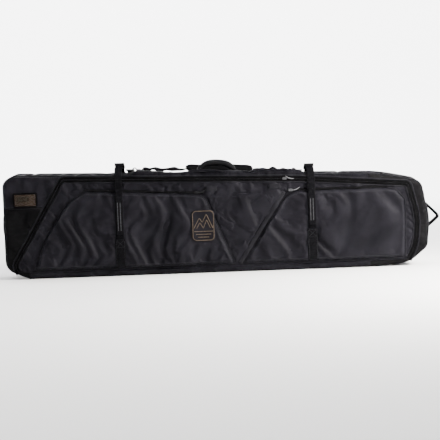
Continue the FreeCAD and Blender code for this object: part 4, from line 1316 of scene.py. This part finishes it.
def end_handle():
    """A band sewn to the nose at both ends, pulled out into a triangle."""
    low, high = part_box("end_handle")
    reach, tip_half, fold = 0.017, 0.006, 0.009
    y, level = (low[1] + high[1]) / 2, (low[2] + high[2]) / 2 - 0.004
    tip, root, seam = high[0] + reach, low[0] + 0.004, low[0] - 0.004
    corners = [(seam, high[2] - 0.002), (root, high[2] - fold), (tip - 0.003, level + tip_half), (tip, level),
               (tip - 0.003, level - tip_half), (root, low[2] + fold), (seam, low[2] + 0.002)]
    webbing("end_handle_loop", at_depth(np.array(corners), y), (0, 1, 0), high[1] - low[1], 0.0095,
            "end_handle", ["end_handle"], 1)


def shoulder_strap():
    """The pad, tilted as it lies on the roof, and the loose webbing that hooks on at both ends."""
    low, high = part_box("shoulder_pad")
    middle = (np.array(low) + np.array(high)) / 2
    corners = np.array([v.co for v in frame["nodes"]["shoulder_pad"].data.vertices])
    left = corners[corners[:, 0] < low[0] + 0.02].mean(axis=0)
    right = corners[corners[:, 0] > high[0] - 0.02].mean(axis=0)
    along = (right - left) / np.linalg.norm(right - left)
    spread = corners - np.outer(corners @ along, along)
    spread -= spread.mean(axis=0)
    across = np.linalg.svd(spread, full_matrices=False)[2][0]
    if across[1] < 0:
        across = -across
    up = np.cross(along, across)
    spans = [(corners @ axis).max() - (corners @ axis).min() for axis in (along, across, up)]
    share = np.linspace(-1, 1, 61)
    path = middle + share[:, None] * along * spans[0] / 2
    path += up * (0.0025 * np.sin(share * 5 + 1))[:, None]
    taper = np.clip((1 - np.abs(share)) / 0.16, 0.0, 1.0) ** 0.6
    scale = np.column_stack([0.35 + 0.65 * taper, 0.45 + 0.55 * taper])
    section = superellipse(spans[1] * 0.98, spans[2] * 1.25, 28, 3.2)
    pad = swept("shoulder_pad_cushion", path, across, section, PADDING, "shoulder_strap", "pad_fabric",
                ["shoulder_pad"], scale=scale)
    apply_modifiers(subdivide(pad))
    for side in SIDES:
        node = f"sling_webbing_{side}"
        low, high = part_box(node)
        line, thickness = centre_path(outline_ring(node, 1, -1)[0])
        outline = hooked_line(side, line, left if side == "left" else right)
        run = at_depth(outline, (low[1] + high[1]) / 2)
        webbing(f"{node}_band", even(run, 0.006), (0, 1, 0), high[1] - low[1], thickness, "shoulder_strap",
                [node], wobble=0.0026, seed=5, twist=-34)
        ring_tab(f"ring_tab_{side}")


def hooked_line(side, line, pad_end):
    """The sling's course from the front: folded round the hook's bar, along the webbing, into the pad."""
    inward = 1 if side == "left" else -1
    low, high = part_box(f"swivel_hook_{side}")
    bar = high[0] - 0.002 if side == "left" else low[0] + 0.002
    level = (low[2] + high[2]) / 2
    if (line[0, 0] - line[-1, 0]) * inward > 0:
        line = line[::-1]
    fold = [(bar + inward * 0.032, level - 0.0030), (bar + inward * 0.006, level - 0.0036),
            (bar - inward * 0.0034, level), (bar + inward * 0.006, level + 0.0036)]
    ends = [(pad_end[0], pad_end[2])]
    return np.vstack([fold, line[1:-1] if len(line) > 3 else line, ends])


def ring_tab(node):
    """A short band folded over the D-ring, both ends sewn to the back panel."""
    low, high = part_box(node)
    thickness = 0.0018
    near, far = low[1] + thickness / 2, high[1] - thickness / 2
    radius = (far - near) / 2
    top = high[2] - thickness / 2 - radius
    path = [(near, low[2])]
    for turn in np.linspace(0, math.pi, 9):
        path.append(((near + far) / 2 - radius * math.cos(turn), top + radius * math.sin(turn)))
    path.append((far, low[2]))
    middle = (low[0] + high[0]) / 2
    line = [(middle, y, z) for y, z in path]
    webbing(f"{node}_fold", line, (1, 0, 0), high[0] - low[0], thickness, "root", [node], 1)


def pulls():
    """The crescent-shaped zip pulls."""
    for side in ("main", "left", "right"):
        node = f"{side}_zip_pull"
        low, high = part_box(node)
        y = (low[1] + high[1]) / 2
        share = np.linspace(0, 1, 25)
        x = low[0] + 0.002 + share * (high[0] - low[0] - 0.003)
        drop = (high[2] - low[2] - 0.005) * share
        z = high[2] - 0.003 - drop if side == "main" else low[2] + 0.003 + drop
        z = z - 0.004 * np.sin(math.pi * share)
        line = at_depth(np.column_stack([x, z]), y)
        size = 0.55 + 0.75 * np.sin(math.pi * share) ** 0.8
        material = DARK_PULL if side == "left" else PULL
        swept(f"{node}_crescent", line, side_for(line), circle(0.0015, 10), material, f"{side}_pull",
              "pull_rubber", [node], scale=np.column_stack([size, size * 0.8]))


def hardware():
    """The moulded and cast parts keep their CAD shape."""
    made_of = {PLASTIC: ["tie_down_buckles", "tri_glides"], METAL: ["main_zip_slider", "right_zip_slider"],
               DARK_PULL: ["left_zip_slider"]}
    for side in SIDES:
        made_of[PLASTIC] += [f"buckle_socket_{side}", f"buckle_plug_{side}"]
        made_of[METAL] += [f"d_ring_{side}", f"swivel_hook_{side}"]
    for material, nodes in made_of.items():
        for node in nodes:
            paint(frame["nodes"][node], material)


# ---------------------------------------------------------------- inside


QUILT_CELL, QUILT_PUFF = 0.07, 0.004


def quilted(name, node, facing, body):
    """A padded lining panel with a diamond quilt; facing is -1 towards the front."""
    ring = face_outline(node, back=facing > 0)
    low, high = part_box(node)
    flat, faces = patch(ring, 0.012)
    u = (flat[:, 0] + flat[:, 1]) / QUILT_CELL
    v = (flat[:, 0] - flat[:, 1]) / QUILT_CELL
    hills = np.abs(np.sin(math.pi * u) * np.sin(math.pi * v)) ** 0.6
    hills *= smooth_step(distance_to(flat, ring), 0, 0.02)
    level = low[1] + 0.001 if facing < 0 else high[1] - 0.001
    y = level + facing * QUILT_PUFF * hills
    points = at_depth(flat, y)
    if facing > 0:
        faces = faces[:, ::-1]
    piece = new_object(name, points, faces, LINING, None, "lining_fabric")
    thicken(subdivide(piece), 0.003)
    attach(piece, body)
    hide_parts(node)


def inside_parts():
    """Quilted linings, the floor pad and the tie-down straps."""
    quilted("lid_lining_quilt", "lid_lining", 1, "lid")
    quilted("back_lining_quilt", "back_lining", -1, "root")
    low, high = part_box("floor_pad")
    nx, ny = 90, 14
    grid = np.array([(x, y, high[2] - 0.001 + 0.003 * abs(math.sin(math.pi * (x - low[0]) / 0.07) *
                                                        math.sin(math.pi * (y - low[1]) / 0.06)) ** 0.6)
                     for y in np.linspace(low[1], high[1], ny) for x in np.linspace(low[0], high[0], nx)])
    pad = new_object("floor_pad_quilt", grid, grid_faces(ny, nx), LINING, None, "lining_fabric")
    thicken(subdivide(pad), high[2] - low[2])
    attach(pad, "root")
    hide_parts("floor_pad")
    node = "tie_down_straps"
    low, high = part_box(node)
    for index, ring in enumerate(outline_ring(node, 2)):
        x0, x1 = ring[:, 0].min(), ring[:, 0].max()
        y = ring[:, 1].mean() - 0.0045
        line = [((x0 + x1) / 2, y, low[2]), ((x0 + x1) / 2, y, high[2])]
        webbing(f"tie_down_strap_{index}", line, (1, 0, 0), x1 - x0, 0.002, "root", [] if index else [node], 1)


straps()
zips()
seams()
window()
badge()
grab_handle()
end_handle()
shoulder_strap()
pulls()
hardware()
inside_parts()


# ---------------------------------------------------------------- camera, light and floor


FLOOR_RADIUS = 7.5  # where the flat floor starts to curve up
FLOOR_BEND = 2.5
WALL_TOP = 7.0
LIGHTS = {  # place, target, size, power, colour
    "key": ((1.65, -1.0, 1.25), (0.1, -0.1, 0.2), (0.45, 0.45), 230, (1.0, 0.965, 0.915)),
    "fill": ((-2.2, -3.4, 1.6), (-0.3, 0, 0.2), (1.2, 1.2), 4, (1, 1, 1)),
    "top": ((0.0, 1.2, 3.4), (0, 0.6, 0.0), (5.0, 1.6), 45, (1, 1, 1)),
    "ring": ((0.0, 1.5, 6.5), (0, 2.5, 0.0), (9.0, 7.0), 760, (1, 1, 1)),
    "wall_wash": ((0.0, 5.0, 5.5), (0.0, 10.0, 1.5), (9.0, 2.0), 2400, (1, 1, 1)),
}
SKY_COLOUR, SKY_STRENGTH = (0.93, 0.95, 1.0, 1), 0.06
CAMERA_TARGET, CAMERA_DISTANCE = (0.007, FRONT, 0.205), 4.77
CAMERA_ELEVATION, CAMERA_ROLL, CAMERA_LENS = math.radians(3), math.radians(-2.1), 100


def area_light(name, place, target, size, power, colour):
    light = bpy.data.lights.new(name, "AREA")
    light.shape = "RECTANGLE"
    light.size, light.size_y = size
    light.energy = power
    light.color = colour
    holder = bpy.data.objects.new(name, light)
    bpy.context.scene.collection.objects.link(holder)
    holder.location = place
    holder.rotation_euler = (Vector(target) - Vector(place)).to_track_quat("-Z", "Y").to_euler()


def make_studio():
    """A round pale floor that curves up to a wall, the lights and the camera."""
    scene = bpy.context.scene
    floor_mesh = bpy.data.meshes.new("studio_floor")
    steps, around = 12, 96
    profile = [(0.02, 0.0), (3.0, 0.0), (FLOOR_RADIUS, 0.0)]
    for k in range(1, steps + 1):
        bend = math.pi / 2 * k / steps
        profile.append((FLOOR_RADIUS + FLOOR_BEND * math.sin(bend), FLOOR_BEND * (1 - math.cos(bend))))
    profile.append((FLOOR_RADIUS + FLOOR_BEND, WALL_TOP))
    turns = [2 * math.pi * k / around for k in range(around)]
    points = [(r * math.cos(turn), r * math.sin(turn), z - 0.001) for r, z in profile for turn in turns]
    faces = []
    for row in range(0, (len(profile) - 1) * around, around):
        for k in range(around):
            after = (k + 1) % around
            faces.append((row + k, row + around + k, row + around + after, row + after))
    faces.append(tuple(range(around)))
    floor_mesh.from_pydata(points, [], faces)
    floor_mesh.polygons.foreach_set("use_smooth", [True] * len(faces))
    floor = bpy.data.objects.new("studio_floor", floor_mesh)
    scene.collection.objects.link(floor)
    white = Shader("studio_white", (0.93, 0.93, 0.93), 0.9)
    paint(floor, white.material)

    for name, light in LIGHTS.items():
        area_light(name, *light)
    world = bpy.data.worlds.new("studio")
    world.use_nodes = True
    world.node_tree.nodes["Background"].inputs["Color"].default_value = SKY_COLOUR
    world.node_tree.nodes["Background"].inputs["Strength"].default_value = SKY_STRENGTH
    scene.world = world

    camera_data = bpy.data.cameras.new("camera")
    camera_data.lens = CAMERA_LENS
    camera_data.sensor_width = 36
    camera = bpy.data.objects.new("camera", camera_data)
    scene.collection.objects.link(camera)
    away = Vector((0, -math.cos(CAMERA_ELEVATION), math.sin(CAMERA_ELEVATION)))
    camera.location = Vector(CAMERA_TARGET) + away * CAMERA_DISTANCE
    turn = (-away).to_track_quat("-Z", "Y").to_matrix() @ Matrix.Rotation(CAMERA_ROLL, 3, "Z")
    camera.rotation_euler = turn.to_euler()
    scene.camera = camera


make_studio()
